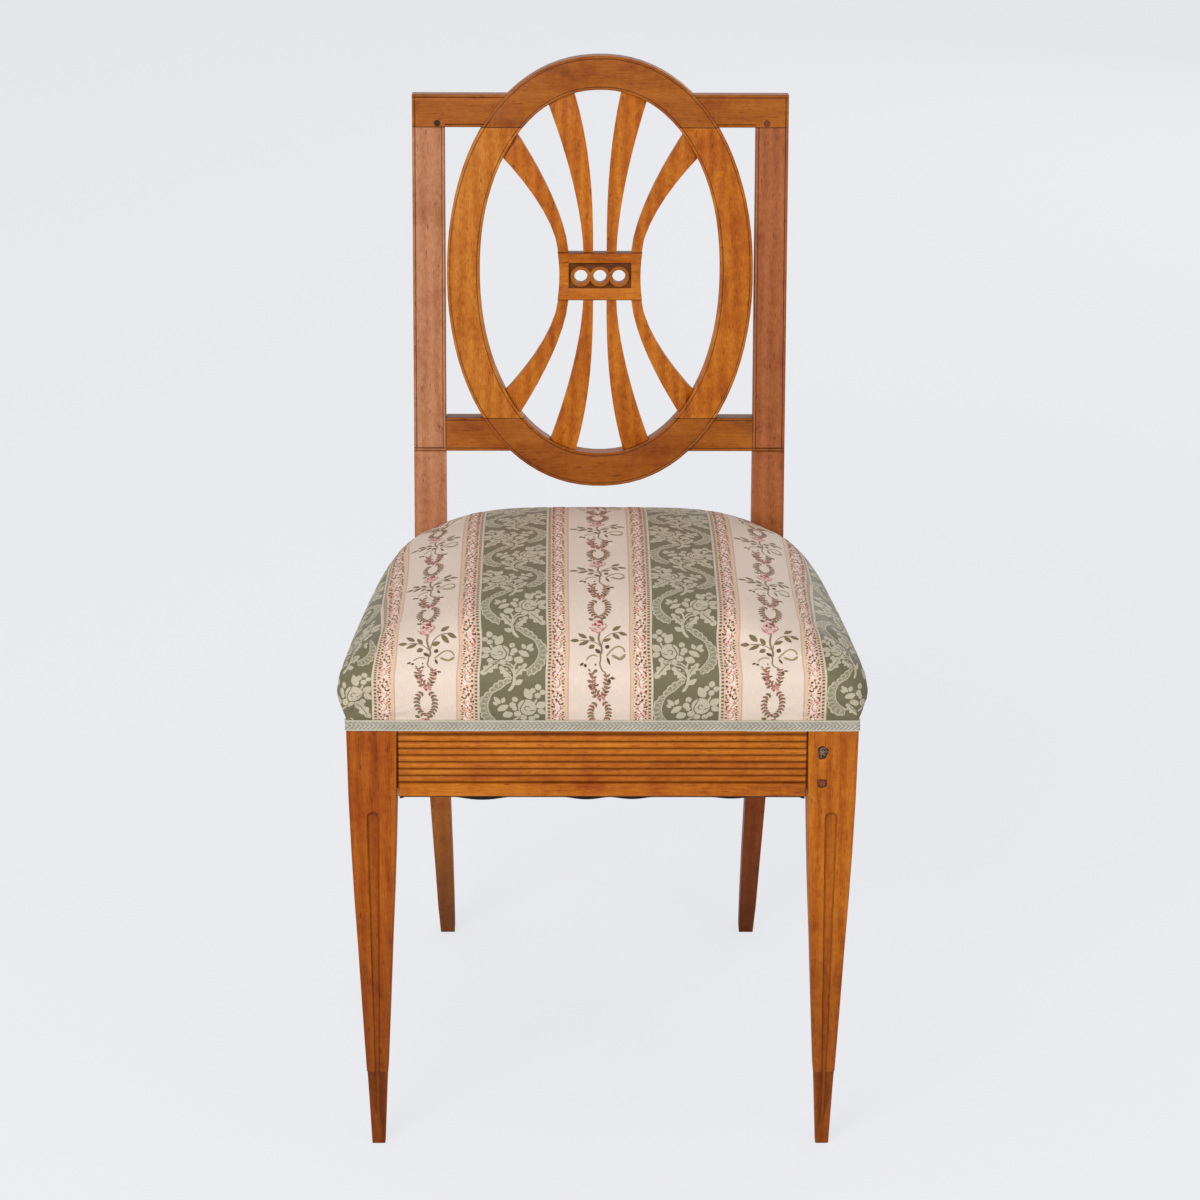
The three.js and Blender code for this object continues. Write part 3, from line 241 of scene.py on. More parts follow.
# each wood's name, the axis of its grain, and where it differs from the plain fruitwood
woodKinds = {
    "across": ("waxed fruitwood, grain across", 0, {}),
    "depth": ("waxed fruitwood, grain front to back", 1, {}),
    "upright": ("waxed fruitwood, grain upright", 2, {}),
    "rail": ("darker waxed fruitwood, grain across", 0, {"dark": "#6C2F05", "middle": "#97500F", "light": "#B2661E"}),
    # painted light: the left oval side takes this lighter copy of the wood for the light falling on it from the left
    "ring": ("lighter waxed fruitwood with painted light, grain upright", 2, {"dark": "#8A450B", "middle": "#B76717", "light": "#D18A35"}),
    "stile": ("redder waxed fruitwood, grain upright", 2, {
        # stained: the darker golden colour of the rear legs under the seat, painted shade with the wood's golden tone
        "dark": "#70350F", "middle": "#995429", "light": "#B26A3C", "shine": 0.22, "stained": "#E3C670",
    }),
    # painted sheen: the left stile and its peg take this lighter, pinker copy of the stile wood for the light's sheen
    # from the left
    "paintedSheen": ("faded waxed fruitwood, grain upright", 2, {
        "dark": "#84482A", "middle": "#AE7048", "light": "#C68B66", "shine": 0.25, "stained": "#E3C670",
    }),
    "leg": ("deeper waxed fruitwood, grain upright", 2, {"dark": "#6A2B03", "middle": "#9E4C05", "light": "#BA6812"}),
    "block": ("plain softwood", 1, {
        "dark": "#A87B48", "middle": "#BC925E", "light": "#CDA878", "coat": 0.0, "roughness": 0.7,
    }),
    "darkPeg": ("dark end grain", 1, {"dark": "#241208", "middle": "#39200F", "light": "#4A2C16", "roughness": 0.6}),
    "brownPeg": ("brown end grain", 1, {"dark": "#552A13", "middle": "#6E3B1C", "light": "#814A28", "roughness": 0.6}),
}
woods = {kind: makeWood(name, along, {**fruitwood, **other}) for kind, (name, along, other) in woodKinds.items()}

# the other nodes have upright grain
nodeWoods = {
    "front_rail": "across", "rear_rail": "across", "splat_plaque": "across", "crest_rail": "rail",
    # the left oval side, the left stile and its peg take the lighter copies with painted light from the left
    "lower_back_rail": "rail", "oval_side_left": "ring", "front_leg_left": "leg", "side_rail_left": "depth",
    "side_rail_right": "depth", "rear_leg_left": "paintedSheen", "rear_leg_right": "stile", "lower_rail_peg_left": "paintedSheen",
    "lower_rail_peg_right": "stile", "front_leg_peg_upper": "darkPeg", "front_leg_peg_lower": "darkPeg",
    "crest_peg_left": "darkPeg", "crest_peg_right": "brownPeg",
}


def finishNode(name):
    return woods["block" if "block" in name else nodeWoods.get(name, "upright")]


for name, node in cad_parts.items():
    node.data.materials.clear()
    node.data.materials.append(finishNode(name))
print("wood done")

# Floor, light and camera

stage = {"radius": 14.0, "rings": 12, "spokes": 48, "floor": "#E4E3E4", "glow": "#F3F4F8", "glowShare": 0.78}
# each lamp's place, what it faces, its size in metres and its power in watts
lamps = {
    "soft front light": ((-1.5, -3.0, 2.1), (0, 0, 0.5), (2.0, 1.5), 78),
    "soft right light": ((2.1, -2.2, 1.5), (0, 0, 0.5), (1.3, 1.5), 13),
    "weak rear light": ((1.4, 3.2, 1.3), (0, 0, 0.5), (1.4, 1.4), 11),
    "top light": ((0, 0.2, 3.2), (0, 0, 0), (2.4, 2.4), 5),
}


def makeStage():
    # a pale level floor: a disc whose rings widen with the square of their number
    radius = (stage["radius"] * (np.arange(1, stage["rings"] + 1) / stage["rings"]) ** 2)[:, None]
    spokes = np.arange(stage["spokes"])
    angle = spokes / stage["spokes"] * 2 * np.pi
    rings = np.stack([radius * np.cos(angle), radius * np.sin(angle), 0 * radius * angle], -1)
    points = np.vstack([rings.reshape(-1, 3), [0, 0, 0]])
    faces = ringFaces(stage["rings"], stage["spokes"])[:, ::-1].tolist() + fanFaces(spokes, len(points) - 1).tolist()
    mesh = bpy.data.meshes.new("floor")
    mesh.from_pydata(points.tolist(), [], faces)
    floor = addObject("floor", mesh)
    # painted studio floor: matt and pale, seen a little brighter by the camera than it lights the chair
    material, tree, shader = newMaterial("matt painted floor", **{"Roughness": 0.85, "Specular IOR Level": 0.2})
    shader.inputs["Base Color"].default_value = linear(stage["floor"])
    glow = addNode(tree, "ShaderNodeEmission", {"Color": linear(stage["glow"])})
    seen = maths(tree, "MULTIPLY", addNode(tree, "ShaderNodeLightPath").outputs["Is Camera Ray"], stage["glowShare"])
    mixed = addNode(tree, "ShaderNodeMixShader", {0: seen, 1: shader.outputs[0], 2: glow.outputs[0]})
    tree.links.new(mixed.outputs[0], tree.nodes["Material Output"].inputs["Surface"])
    mesh.materials.append(material)


def addLamp(name, place, aim, size, power):
    lamp = bpy.data.lights.new(name, "AREA")
    lamp.shape = "RECTANGLE"
    lamp.size, lamp.size_y = size
    lamp.energy = power
    holder = addObject(name, lamp)
    holder.location = place
    away = np.array(place) - np.array(aim)
    holder.rotation_euler = (math.atan2(math.hypot(away[0], away[1]), away[2]), 0, math.atan2(away[0], -away[1]))


def makeSurroundings():
    # paper white: seen at full strength, and lighting the chair at half of it
    world = bpy.data.worlds.new("studio")
    world.use_nodes = True
    bpy.context.scene.world = world
    tree = world.node_tree
    background = tree.nodes["Background"]
    background.inputs["Color"].default_value = linear("#F4F6FA")
    rays = addNode(tree, "ShaderNodeLightPath").outputs
    mirrored = maths(tree, "ADD", rays["Is Glossy Ray"], rays["Is Transmission Ray"])
    seen = maths(tree, "ADD", rays["Is Camera Ray"], mirrored, clamp=True)
    tree.links.new(maths(tree, "MULTIPLY_ADD", seen, 0.5, 0.5), background.inputs["Strength"])


makeStage()
for name, lamp in lamps.items():
    addLamp(name, *lamp)
makeSurroundings()
bpy.context.scene.view_settings.view_transform = "Standard"

view = {"place": (-37.0, -3411.2, 1923.9), "turn": 0.574, "down": 22.09, "roll": 0.272, "lens": 127.68}


def makeCamera():
    # the angle from which the photograph was taken, in front and above with a long lens
    camera = addObject("camera", bpy.data.cameras.new("camera"))
    camera.data.sensor_width = 36
    camera.data.lens = view["lens"]
    camera.data.clip_end = 50
    camera.location = inMetres(view["place"])
    turn, down, roll = (math.radians(view[part]) for part in ("turn", "down", "roll"))
    ahead = np.array([math.sin(turn) * math.cos(down), math.cos(turn) * math.cos(down), -math.sin(down)])
    right = np.array([math.cos(turn), -math.sin(turn), 0])
    above = np.cross(right, ahead)
    tilted = right * math.cos(roll) + above * math.sin(roll)
    upward = above * math.cos(roll) - right * math.sin(roll)
    matrix = np.eye(4)
    matrix[:3, 0], matrix[:3, 1], matrix[:3, 2], matrix[:3, 3] = tilted, upward, -ahead, camera.location
    camera.matrix_world = Matrix(matrix.tolist())
    bpy.context.scene.camera = camera


makeCamera()
print("stage, lamps and camera done")

# Seat cover: rings from the hem up the walls, over the shoulder and in to the crown

seat = {
    "halfFront": 225.0, "halfRear": 176.8, "legFront": 391.0, "railBack": 419.5, "legInner": 146.3,
    "hem": 415.3, "shoulder": 483.0, "inset": 0.5, "round": 38.0, "clear": 1.0,
    "bulgeFront": 9.0, "bulgeSide": (11.5, 12.6, 0.4), "bulgeRear": 5.0,
    "crownBack": 130.0, "crownHeight": 512.0, "frontPower": 2.6, "rearPower": 2.9,
    "rearDrop": 21.0, "cornerDrop": 20.0, "cornerPower": 4.0, "dropStart": 209.75,
    "rakeStart": 419.8, "rake": 9.0, "crownShare": 0.006,
    "wallHeights": (0, 0.09, 0.17, 0.28, 0.42, 0.6, 0.76, 0.89, 1),
    "wallBulge": (0, 0, 0.02, 0.42, 0.84, 1, 0.82, 0.25, -0.75),
    "wallRound": (0.03, 0.03, 0.03, 0.2, 0.45, 0.65, 0.8, 0.92, 1),
}


def throughPoints(x, places, values):
    # a smooth curve through a table: each span is a cubic whose slopes are those of the table's own gradient
    places, values = np.asarray(places, float), np.asarray(values, float)
    slopes = np.gradient(values, places)
    span = np.clip(np.searchsorted(places, x, "right") - 1, 0, len(places) - 2)
    width = places[span + 1] - places[span]
    way = (x - places[span]) / width
    start = (1 + 2 * way) * (1 - way) ** 2 * values[span] + way * (1 - way) ** 2 * width * slopes[span]
    return start + way ** 2 * (3 - 2 * way) * values[span + 1] + way ** 2 * (way - 1) * width * slopes[span + 1]


def smoothStep(low, high, value):
    way = np.clip((value - low) / (high - low), 0, 1)
    return way * way * (3 - 2 * way)


def sideX(y):
    return seat["halfFront"] - (seat["halfFront"] - seat["halfRear"]) * y / seat["legFront"]


def seatColumns(counts):
    # half of the outline as (segment, way): front, front corner, side, rear corner, rear
    segment = np.concatenate([np.full(count, i) for i, count in enumerate(counts)])
    way = np.concatenate([(np.arange(count) + 0.5) / count for count in counts])
    return segment, way


def seatOutline(columns, bulge, corner):
    # straight front and rear joined to the sides by arcs; rows follow bulge and corner, columns follow the outline
    segment, way = columns
    front = seat["inset"] - bulge * seat["bulgeFront"]
    rear = seat["railBack"] - seat["inset"] + bulge * seat["bulgeRear"]
    first, middle, last = seat["bulgeSide"]

    def side(y):
        share = y / seat["railBack"]
        bend = 2 * (first + last - 2 * middle)
        return sideX(y) + bulge * (first + (last - first - bend) * share + bend * share ** 2) - seat["inset"]

    frontX, frontY = side(front + corner) - corner, front + corner
    rearX, rearY = side(rear - corner) - corner, rear - corner
    angle = way * np.pi / 2
    sideY = frontY + (rearY - frontY) * way
    x = np.select(
        [segment == 0, segment == 1, segment == 2, segment == 3],
        [frontX * way, frontX + corner * np.sin(angle), side(sideY), rearX + corner * np.cos(angle)], rearX * (1 - way),
    )
    y = np.select(
        [segment == 0, segment == 1, segment == 2, segment == 3],
        [front + 0 * way, frontY - corner * np.cos(angle), sideY, rearY + corner * np.sin(angle)], rear + 0 * way,
    )
    return x, y


def seatForm(counts, wallRings, domeRings):
    # the walls rise by height share with their bulge; the dome's rings close on the crown as a power of their share
    columns = seatColumns(counts)
    height = np.linspace(0, 1, wallRings)[:, None]
    bulge = throughPoints(height, seat["wallHeights"], seat["wallBulge"])
    corner = seat["round"] * throughPoints(height, seat["wallHeights"], seat["wallRound"])
    x, y = seatOutline([part[None, :] for part in columns], bulge, corner)
    settle = smoothStep(0.17, 1, height)
    behind = np.clip(y - seat["dropStart"], 0, None) / (seat["railBack"] - seat["dropStart"])
    drop = behind ** 2 * (seat["rearDrop"] + seat["cornerDrop"] * np.abs(x / sideX(y)) ** seat["cornerPower"])
    z = seat["hem"] + height * (seat["shoulder"] - seat["hem"]) - settle * drop
    walls = np.stack([x, y, z], -1)
    top = np.array([0, seat["crownBack"], seat["crownHeight"]])
    share = np.linspace(1, seat["crownShare"], domeRings + 1)[1:, None]
    out = walls[-1] - top
    towards = out[:, 1] / np.hypot(out[:, 0], out[:, 1])
    power = seat["frontPower"] + (seat["rearPower"] - seat["frontPower"]) * (1 + towards) / 2
    dome = top + np.stack([out[:, 0] * share, out[:, 1] * share, out[:, 2] * share ** power], -1)
    rings = np.concatenate([walls, dome])
    rings = eased(rings, wallRings - 1, max(2, wallRings // 8))
    left = rings[:, ::-1] * [-1, 1, 1]
    return np.concatenate([rings, left], 1)


def eased(rings, at, reach):
    # rounds the line where walls meet dome by averaging each ring there with its neighbours
    rings = rings.copy()
    for _ in range(reach * 2):
        part = rings[at - reach:at + reach + 1]
        part[1:-1] = part[1:-1] / 2 + (part[:-2] + part[2:]) / 4
    return rings


def ringNormals(rings):
    # outward directions from the grid's own two tangents
    around = np.roll(rings, -1, 1) - np.roll(rings, 1, 1)
    upward = np.gradient(rings, axis=0)
    normal = np.cross(around, upward)
    return normal / np.maximum(np.linalg.norm(normal, axis=-1, keepdims=True), 1e-9)


def sunk(rings, depth):
    return rings - ringNormals(rings) * depth


def tucked(rings, clear):
    # the cloth is cut round the rear legs: what falls in a leg's room goes to the room's front or inner face
    x, y, z = rings[..., 0].copy(), rings[..., 1].copy(), rings[..., 2]
    lean = np.clip(z - seat["rakeStart"], 0, None) * math.tan(math.radians(seat["rake"]))
    front = seat["legFront"] - clear + lean
    inner = seat["legInner"] - clear
    intoFront, intoSide = y - front, np.abs(x) - inner
    inside = (intoFront > 0) & (intoSide > 0)
    toFront = inside & (intoFront <= intoSide)
    y = np.where(toFront, front, y)
    x = np.where(inside & ~toFront, np.sign(x) * inner, x)
    return np.stack([x, y, z], -1)


def newPiece(name, points, faces, material, smooth=True, replaces=()):
    # a mesh from points in millimetres of the chair's frame; faces are arrays of quads or triangles, or plain lists
    mesh = bpy.data.meshes.new(name)
    mesh.from_pydata(inMetres(points).tolist(), [], [face for part in faces for face in np.asarray(part).tolist()])
    mesh.validate()
    if smooth:
        mesh.shade_smooth()
    piece = addObject(name, mesh)
    mesh.materials.append(material)
    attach(piece, "root")
    if replaces:
        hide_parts(*replaces)
    return piece


# Wood pieces with their dirt and painted shade: merged copies of the CAD solids, with a patina in the grooves and at
# the joints, and painted shade on the flutes' walls, under the braid and on the rear legs under the seat

backFrame = {"y": 407.9, "z": 526.5, "lean": math.radians(9.0), "faces": (0.0, 2.5), "quirk": 0.9}
joints = {"crest": 310.0, "lower": 33.0, "beads": (0.7, 3.4), "line": 0.9, "beadLine": 0.7}
reeding = {"low": 365.0, "high": 410.7, "face": 1.5, "depth": 1.9, "halfWidth": 179.7, "end": 1.2}
sock = {"top": 75.0, "stain": 0.62, "above": (0.1, 0.38), "fade": (270, 90), "cuts": (260, 215, 170, 130, 100)}
rearLeg = {"golden": (430, 340), "foot": (145, 0), "seat": 520, "cuts": (430, 340, 180, 140, 100, 60, 25)}
flute = {"middle": 202.5, "bottom": 32.0, "round": 330.9, "top": 336.8, "widths": (3.4, 11.8)}
panel = {"face": -0.6, "depth": 1.4, "edge": 0.9}
underBraid = (413.7, 415.2)
# how dark each mark is, from 0 to 1: dirt, except that the flute's walls and top are painted shade and the line under
# the braid is painted shade with dust
dirtAndShade = {
    "joint": 0.9, "bead": 0.85, "foot": 0.4, "braid": 0.85, "reed": 0.72, "reedEnd": 0.9, "flute": 0.34,
    "fluteTop": 0.3, "panel": 0.85, "panelEdge": 0.95, "splat": 0.4,
}


def backPlaces(points):
    # chair millimetres to the back's own frame: along it upwards, and out of its face
    lean = backFrame["lean"]
    y, z = points[:, 1] - backFrame["y"], points[:, 2] - backFrame["z"]
    return y * math.sin(lean) + z * math.cos(lean), z * math.sin(lean) - y * math.cos(lean)


def backPoint(s):
    # and back again, on the middle line of its face
    lean = backFrame["lean"]
    return [0, backFrame["y"] + s * math.sin(lean), backFrame["z"] + s * math.cos(lean)]


def near(value, target, reach):
    return np.clip(1 - np.abs(value - target) / reach, 0, 1)


def quirkPatina(points):
    # the scored line beside each bead lies one quirk depth under a face of the back
    out = backPlaces(points)[1]
    scored = [near(face - out, backFrame["quirk"], 0.05) > 0 for face in backFrame["faces"]]
    return np.max(scored, 0) * (out > -2).astype(float)


def jointPatina(points):
    s, out = backPlaces(points)
    return np.max([near(s, joints[name], 0.06) for name in ("crest", "lower")], 0) * (out > -3)


def backPatina(points):
    return np.maximum(quirkPatina(points), dirtAndShade["joint"] * jointPatina(points))


def legPatina(points):
    # the back's lines above, the beads' lines over the seat, and a darkening to the foot
    s = backPlaces(points)[0]
    height = points[:, 2]
    lines = np.max([near(s, level, 0.06) for level in joints["beads"]], 0) * (height > rearLeg["seat"])
    low = smoothStep(*rearLeg["foot"], height)
    return np.max([backPatina(points) * (s > 3), dirtAndShade["bead"] * lines, dirtAndShade["foot"] * low], 0)


def braidShade(points):
    # the dark line of shade and dust just under the braid
    return dirtAndShade["braid"] * (points[:, 2] > underBraid[1] - 0.02) * (points[:, 1] < 6)


def reedDirtAndShade(points):
    # dirt by the depth between the reeds and at their two ends, and painted shade under the braid
    x, y, z = points.T
    inside = (z > reeding["low"] - 1) & (z < reeding["high"] + 1) & (y < reeding["face"] + reeding["depth"] + 0.3)
    deep = np.clip((y - reeding["face"] - 0.15) / (reeding["depth"] - 0.3), 0, 1)
    ends = near(np.abs(x), reeding["halfWidth"], 0.4) * (y < 4)
    return np.max([dirtAndShade["reed"] * deep ** 1.8 * inside, dirtAndShade["reedEnd"] * ends, braidShade(points)], 0)


def frontLegShadeAndDust(points):
    # painted shade down the flute's two walls and round its top, and none on its floor and rim
    x, y, z = points.T
    low, high = flute["widths"]
    half = (low + (z - flute["bottom"]) / (flute["round"] - flute["bottom"]) * (high - low)) / 2
    above = np.clip((z - flute["round"]) / (flute["top"] - flute["round"]), 0, 0.999)
    half = np.where(z > flute["round"], high / 2 * np.sqrt(1 - above ** 2), half)
    off = np.abs(np.abs(x) - flute["middle"]) / np.maximum(half, 0.1)
    inside = (off < 0.96) & (z < flute["top"] - 0.1) & (z > flute["bottom"] - 3) & (y < 20)
    # painted shade: darker on the flute's walls and under its rounded top
    walls = dirtAndShade["flute"] * smoothStep(0.45, 0.9, off) + dirtAndShade["fluteTop"] * smoothStep(0.2, 0.9, above)
    return np.maximum(walls * inside, braidShade(points))


def sockStain(points):
    # darker towards the floor, and darker again below the sock's edge
    least, more = sock["above"]
    low = least + more * smoothStep(*sock["fade"], points[:, 2])
    return np.where(points[:, 2] < sock["top"] - 0.02, sock["stain"], low)


def rearShadeAndTone(points):
    # below the seat the rear legs are darker and more golden: painted shade under the seat, with the golden tone of the
    # wood there
    return smoothStep(*rearLeg["golden"], points[:, 2])


def noStain(points):
    return np.zeros(len(points))


def plaquePatina(points):
    # dirt on the floor of the sunk panel, and a dark line along the plaque's upper and lower edges
    s, out = backPlaces(points)
    sunken = np.clip((panel["face"] - out - 0.2) / panel["depth"], 0, 1) * (out > -3.4)
    edges = np.maximum(near(s, s.max(), 0.05), near(s, s.min(), 0.05))
    return np.maximum(sunken * dirtAndShade["panel"], dirtAndShade["panelEdge"] * edges)


def splatPatina(points):
    # the ends, where dirt gathers against the ring and the plaque
    s = backPlaces(points)[0]
    return dirtAndShade["splat"] * near(s, s.max(), 3) + dirtAndShade["splat"] * near(s, s.min(), 3)


def nodePoints(mesh):
    # a mesh's points in millimetres of the chair's frame
    points = np.zeros(len(mesh.vertices) * 3)
    mesh.vertices.foreach_get("co", points)
    return points.reshape(-1, 3) / mm - [0, chairFront, 0]


def darkenedCopy(node, darkness, stain=noStain, cuts=()):
    # cuts are (point, direction) planes in chair millimetres that give the dark marks a vertex line to stop at
    form = bmesh.new()
    form.from_mesh(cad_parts[node].data)
    bmesh.ops.remove_doubles(form, verts=form.verts, dist=2e-6)
    for point, direction in cuts:
        every = form.verts[:] + form.edges[:] + form.faces[:]
        bmesh.ops.bisect_plane(form, geom=every, dist=1e-6, plane_co=inMetres(point).tolist(), plane_no=direction)
    mesh = bpy.data.meshes.new("darkened_" + node)
    form.to_mesh(mesh)
    form.free()
    mesh.shade_smooth()
    mesh.set_sharp_from_angle(angle=math.radians(24))
    mesh.materials.append(finishNode(node))
    points = nodePoints(mesh)
    paintPoints(mesh, "darkness", darkness(points))
    paintPoints(mesh, "stain", stain(points))
    piece = addObject("darkened_" + node, mesh)
    flat = piece.modifiers.new("flat faces stay flat", "WEIGHTED_NORMAL")
    flat.keep_sharp = True
    flat.weight = 100
    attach(piece, "root")
    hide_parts(node)


def levelCuts(levels):
    return [((0, 0, level), (0, 0, 1)) for level in levels]


def acrossBack(levels):
    return [(backPoint(level), (0, math.sin(backFrame["lean"]), math.cos(backFrame["lean"]))) for level in levels]


backCuts = acrossBack(joints[name] + step for name in ("crest", "lower") for step in (-joints["line"], joints["line"]))
beadCuts = acrossBack(level + step for level in joints["beads"] for step in (-joints["beadLine"], joints["beadLine"]))
stileCuts = backCuts + beadCuts + levelCuts(rearLeg["cuts"])
railCuts = [((side * (reeding["halfWidth"] - reeding["end"]), 0, 0), (1, 0, 0)) for side in (-1, 1)]
railCuts += levelCuts(underBraid)
legCuts = levelCuts(underBraid + sock["cuts"])
plaqueSpan = backPlaces(nodePoints(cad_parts["splat_plaque"].data))[0]
plaqueCuts = acrossBack((plaqueSpan.max() - panel["edge"], plaqueSpan.min() + panel["edge"]))

darkenedCopy("front_rail", reedDirtAndShade, cuts=railCuts)
for side in ("left", "right"):
    darkenedCopy("front_leg_" + side, frontLegShadeAndDust, sockStain, cuts=legCuts)
    darkenedCopy("rear_leg_" + side, legPatina, rearShadeAndTone, cuts=stileCuts)
    darkenedCopy("oval_side_" + side, backPatina, cuts=backCuts)
    for place in ("upper_inner_", "upper_outer_", "lower_inner_", "lower_outer_"):
        darkenedCopy("splat_" + place + side, splatPatina)
darkenedCopy("crest_rail", backPatina, cuts=backCuts)
darkenedCopy("lower_back_rail", backPatina, cuts=backCuts)
darkenedCopy("splat_plaque", plaquePatina, cuts=plaqueCuts)
print("darkened wood done")

# The two old repairs over the pegs of the right front leg

repairs = {
    "pegHead_upper": {
        "node": "front_leg_peg_upper", "size": (4.6, 6.4), "square": 2.2, "rough": 0.11,
        "heart": "#7C6A57", "rim": "#2B170D",
    },
    "pegHead_lower": {
        "node": "front_leg_peg_lower", "size": (4.3, 4.2), "square": 3.2, "rough": 0.05,
        "heart": "#8E4A30", "rim": "#4A2212",
    },
}
repairSides = 28
# each ring's share of the radius, its height over the leg's face and its patina
repairRings = [
    (1.0, -0.8, 1.0), (1.0, 0.0, 1.0), (0.93, 0.1, 0.8), (0.78, 0.13, 0.45), (0.5, 0.15, 0.15), (0.2, 0.16, 0.0),
]


def makeFiller(name, heart, rim):
    # Old filler and end grain flush in the leg: dull, mottled in the middle, dark with wax and dirt at its rim.
    material, tree, shader = newMaterial(name, **{"Roughness": 0.6, "Specular IOR Level": 0.2})
    place = addNode(tree, "ShaderNodeTexCoord").outputs["Object"]
    spots = {"Vector": place, "Scale": 560.0, "Detail": 4.0, "Roughness": 0.7}
    spots = addNode(tree, "ShaderNodeTexNoise", spots).outputs[0]
    outer = addNode(tree, "ShaderNodeAttribute", attribute_name="darkness").outputs["Fac"]
    dark = maths(tree, "MULTIPLY_ADD", spots, 3.6, maths(tree, "MULTIPLY_ADD", outer, 0.9, -1.5))
    finishSurface(tree, shader, colourSteps(tree, dark, [(0.2, heart), (0.75, rim)]), spots, 0.5, 0.0004)
    return material


def makeRepair(name, node, size, square, rough, heart, rim):
    # a low flat dome: rings whose outline is a rounded square with a slow waver in its radius
    low, high = (np.array(corner) / mm - [0, chairFront, 0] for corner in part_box(node))
    centre = (low + high) / 2
    angle = np.arange(repairSides) / repairSides * 2 * np.pi
    share, height, darkened = np.array(repairRings).T[..., None]
    bare = (np.abs(np.cos(angle)) ** square + np.abs(np.sin(angle)) ** square) ** (-1 / square)
    waver = 1 + rough * (np.sin(3 * angle + 1) + 0.7 * np.sin(5 * angle + size[1]))
    x = centre[0] + size[0] * share * bare * waver * np.cos(angle)
    z = centre[2] + size[1] * share * bare * waver * np.sin(angle)
    rings = np.stack([x, low[1] - height + 0 * x, z], -1)
    points = np.vstack([rings.reshape(-1, 3), rings[-1].mean(0), rings[0].mean(0)])
    first, count = np.arange(repairSides), rings.shape[0] * repairSides
    last = count - repairSides + first
    faces = [ringFaces(len(rings), repairSides), fanFaces(last, count), fanFaces(first, count + 1, inward=True)]
    piece = newPiece(name, points, faces, makeFiller("old filler, " + name, heart, rim))
    paintPoints(piece.data, "darkness", np.append(np.repeat(darkened, repairSides), [0, 1]))


for name, form in repairs.items():
    makeRepair(name, **form)
print("peg heads done")


stuffed = {"counts": (22, 10, 26, 10, 16), "walls": 15, "dome": 14, "held": 12, "frames": 20, "cap": 3.6, "keep": 0.8}
trialCloth = {
    "quality": 6, "mass": 0.3, "tension_stiffness": 18, "compression_stiffness": 18, "shear_stiffness": 8,
    "bending_stiffness": 1.5, "use_pressure": True, "uniform_pressure_force": 3.5, "vertex_group_mass": "held",
}


def inflatedShift(rings):
    # the form as a cloth, held at the hem and blown up a little; returns how far each of its points moves, capped
    rows, columns = rings.shape[:2]
    points = np.vstack([rings.reshape(-1, 3), rings[-1].mean(0)])
    last = (rows - 1) * columns + np.arange(columns)
    closing = fanFaces(last, rows * columns).tolist() + [list(range(columns))[::-1]]
    mesh = bpy.data.meshes.new("trial cloth")
    mesh.from_pydata(inMetres(points).tolist(), [], ringFaces(rows, columns).tolist() + closing)
    cloth = addObject("trial cloth", mesh)
    low = np.nonzero(points[:, 2] < seat["hem"] + stuffed["held"])[0]
    cloth.vertex_groups.new(name="held").add(low.tolist(), 1.0, "REPLACE")
    modifier = cloth.modifiers.new("cloth", "CLOTH")
    for setting, value in trialCloth.items():
        setattr(modifier.settings, setting, value)
    modifier.settings.effector_weights.gravity = 0
    modifier.collision_settings.use_collision = False
    scene = bpy.context.scene
    for step in range(1, stuffed["frames"] + 1):
        scene.frame_set(step)
    result = cloth.evaluated_get(bpy.context.evaluated_depsgraph_get()).to_mesh()
    blown = np.zeros(len(points) * 3)
    result.vertices.foreach_get("co", blown)
    shift = (blown.reshape(-1, 3) - inMetres(points))[:-1].reshape(rows, columns, 3) / mm
    scene.frame_set(1)
    bpy.data.objects.remove(cloth)
    reach = np.linalg.norm(shift, axis=-1, keepdims=True)
    print("cloth moved", round(float(reach.mean()), 2), "mm on average,", round(float(reach.max()), 2), "at most")
    return shift * np.minimum(1, stuffed["cap"] / np.maximum(reach, 1e-6))


def refined(values, rows, columns):
    # a coarse ring grid's values at a finer grid's places, linear upwards and round the ring
    coarseRows, coarseColumns = values.shape[:2]
    row = np.linspace(0, coarseRows - 1, rows)
    column = (np.arange(columns) + 0.5) * coarseColumns / columns - 0.5
    low = np.clip(np.floor(row).astype(int), 0, coarseRows - 2)
    west = np.floor(column).astype(int)
    up, east = (row - low)[:, None, None], (column - west)[None, :, None]
    west, onward = west % coarseColumns, (west + 1) % coarseColumns
    lower = values[low][:, west] * (1 - east) + values[low][:, onward] * east
    upper = values[low + 1][:, west] * (1 - east) + values[low + 1][:, onward] * east
    return lower * (1 - up) + upper * up


cover = {"refine": 3, "walls": 43, "dome": 42, "thickness": 1.2, "hemToBraid": 10.7}
pleat = {"depth": 1.6, "width": 1.3, "start": 6.0, "fade": (0.8, 1.1)}
fineCounts = tuple(count * cover["refine"] for count in stuffed["counts"])
coverSmooth = seatForm(fineCounts, cover["walls"], cover["dome"])
coarse = seatForm(stuffed["counts"], stuffed["walls"], stuffed["dome"])
shift, outward = inflatedShift(coarse), ringNormals(coarse)
# above the hem the average swelling is taken off again, and the crown moves as one
swell = (shift * outward).sum(-1)
shift -= outward * (np.average(swell[4:]) * smoothStep(2, 5, np.arange(len(swell)))[:, None, None])
shift[-3:] = shift[-3:].mean((0, 1))
coverSmooth = coverSmooth + stuffed["keep"] * refined(shift, *coverSmooth.shape[:2])
print("seat form done")


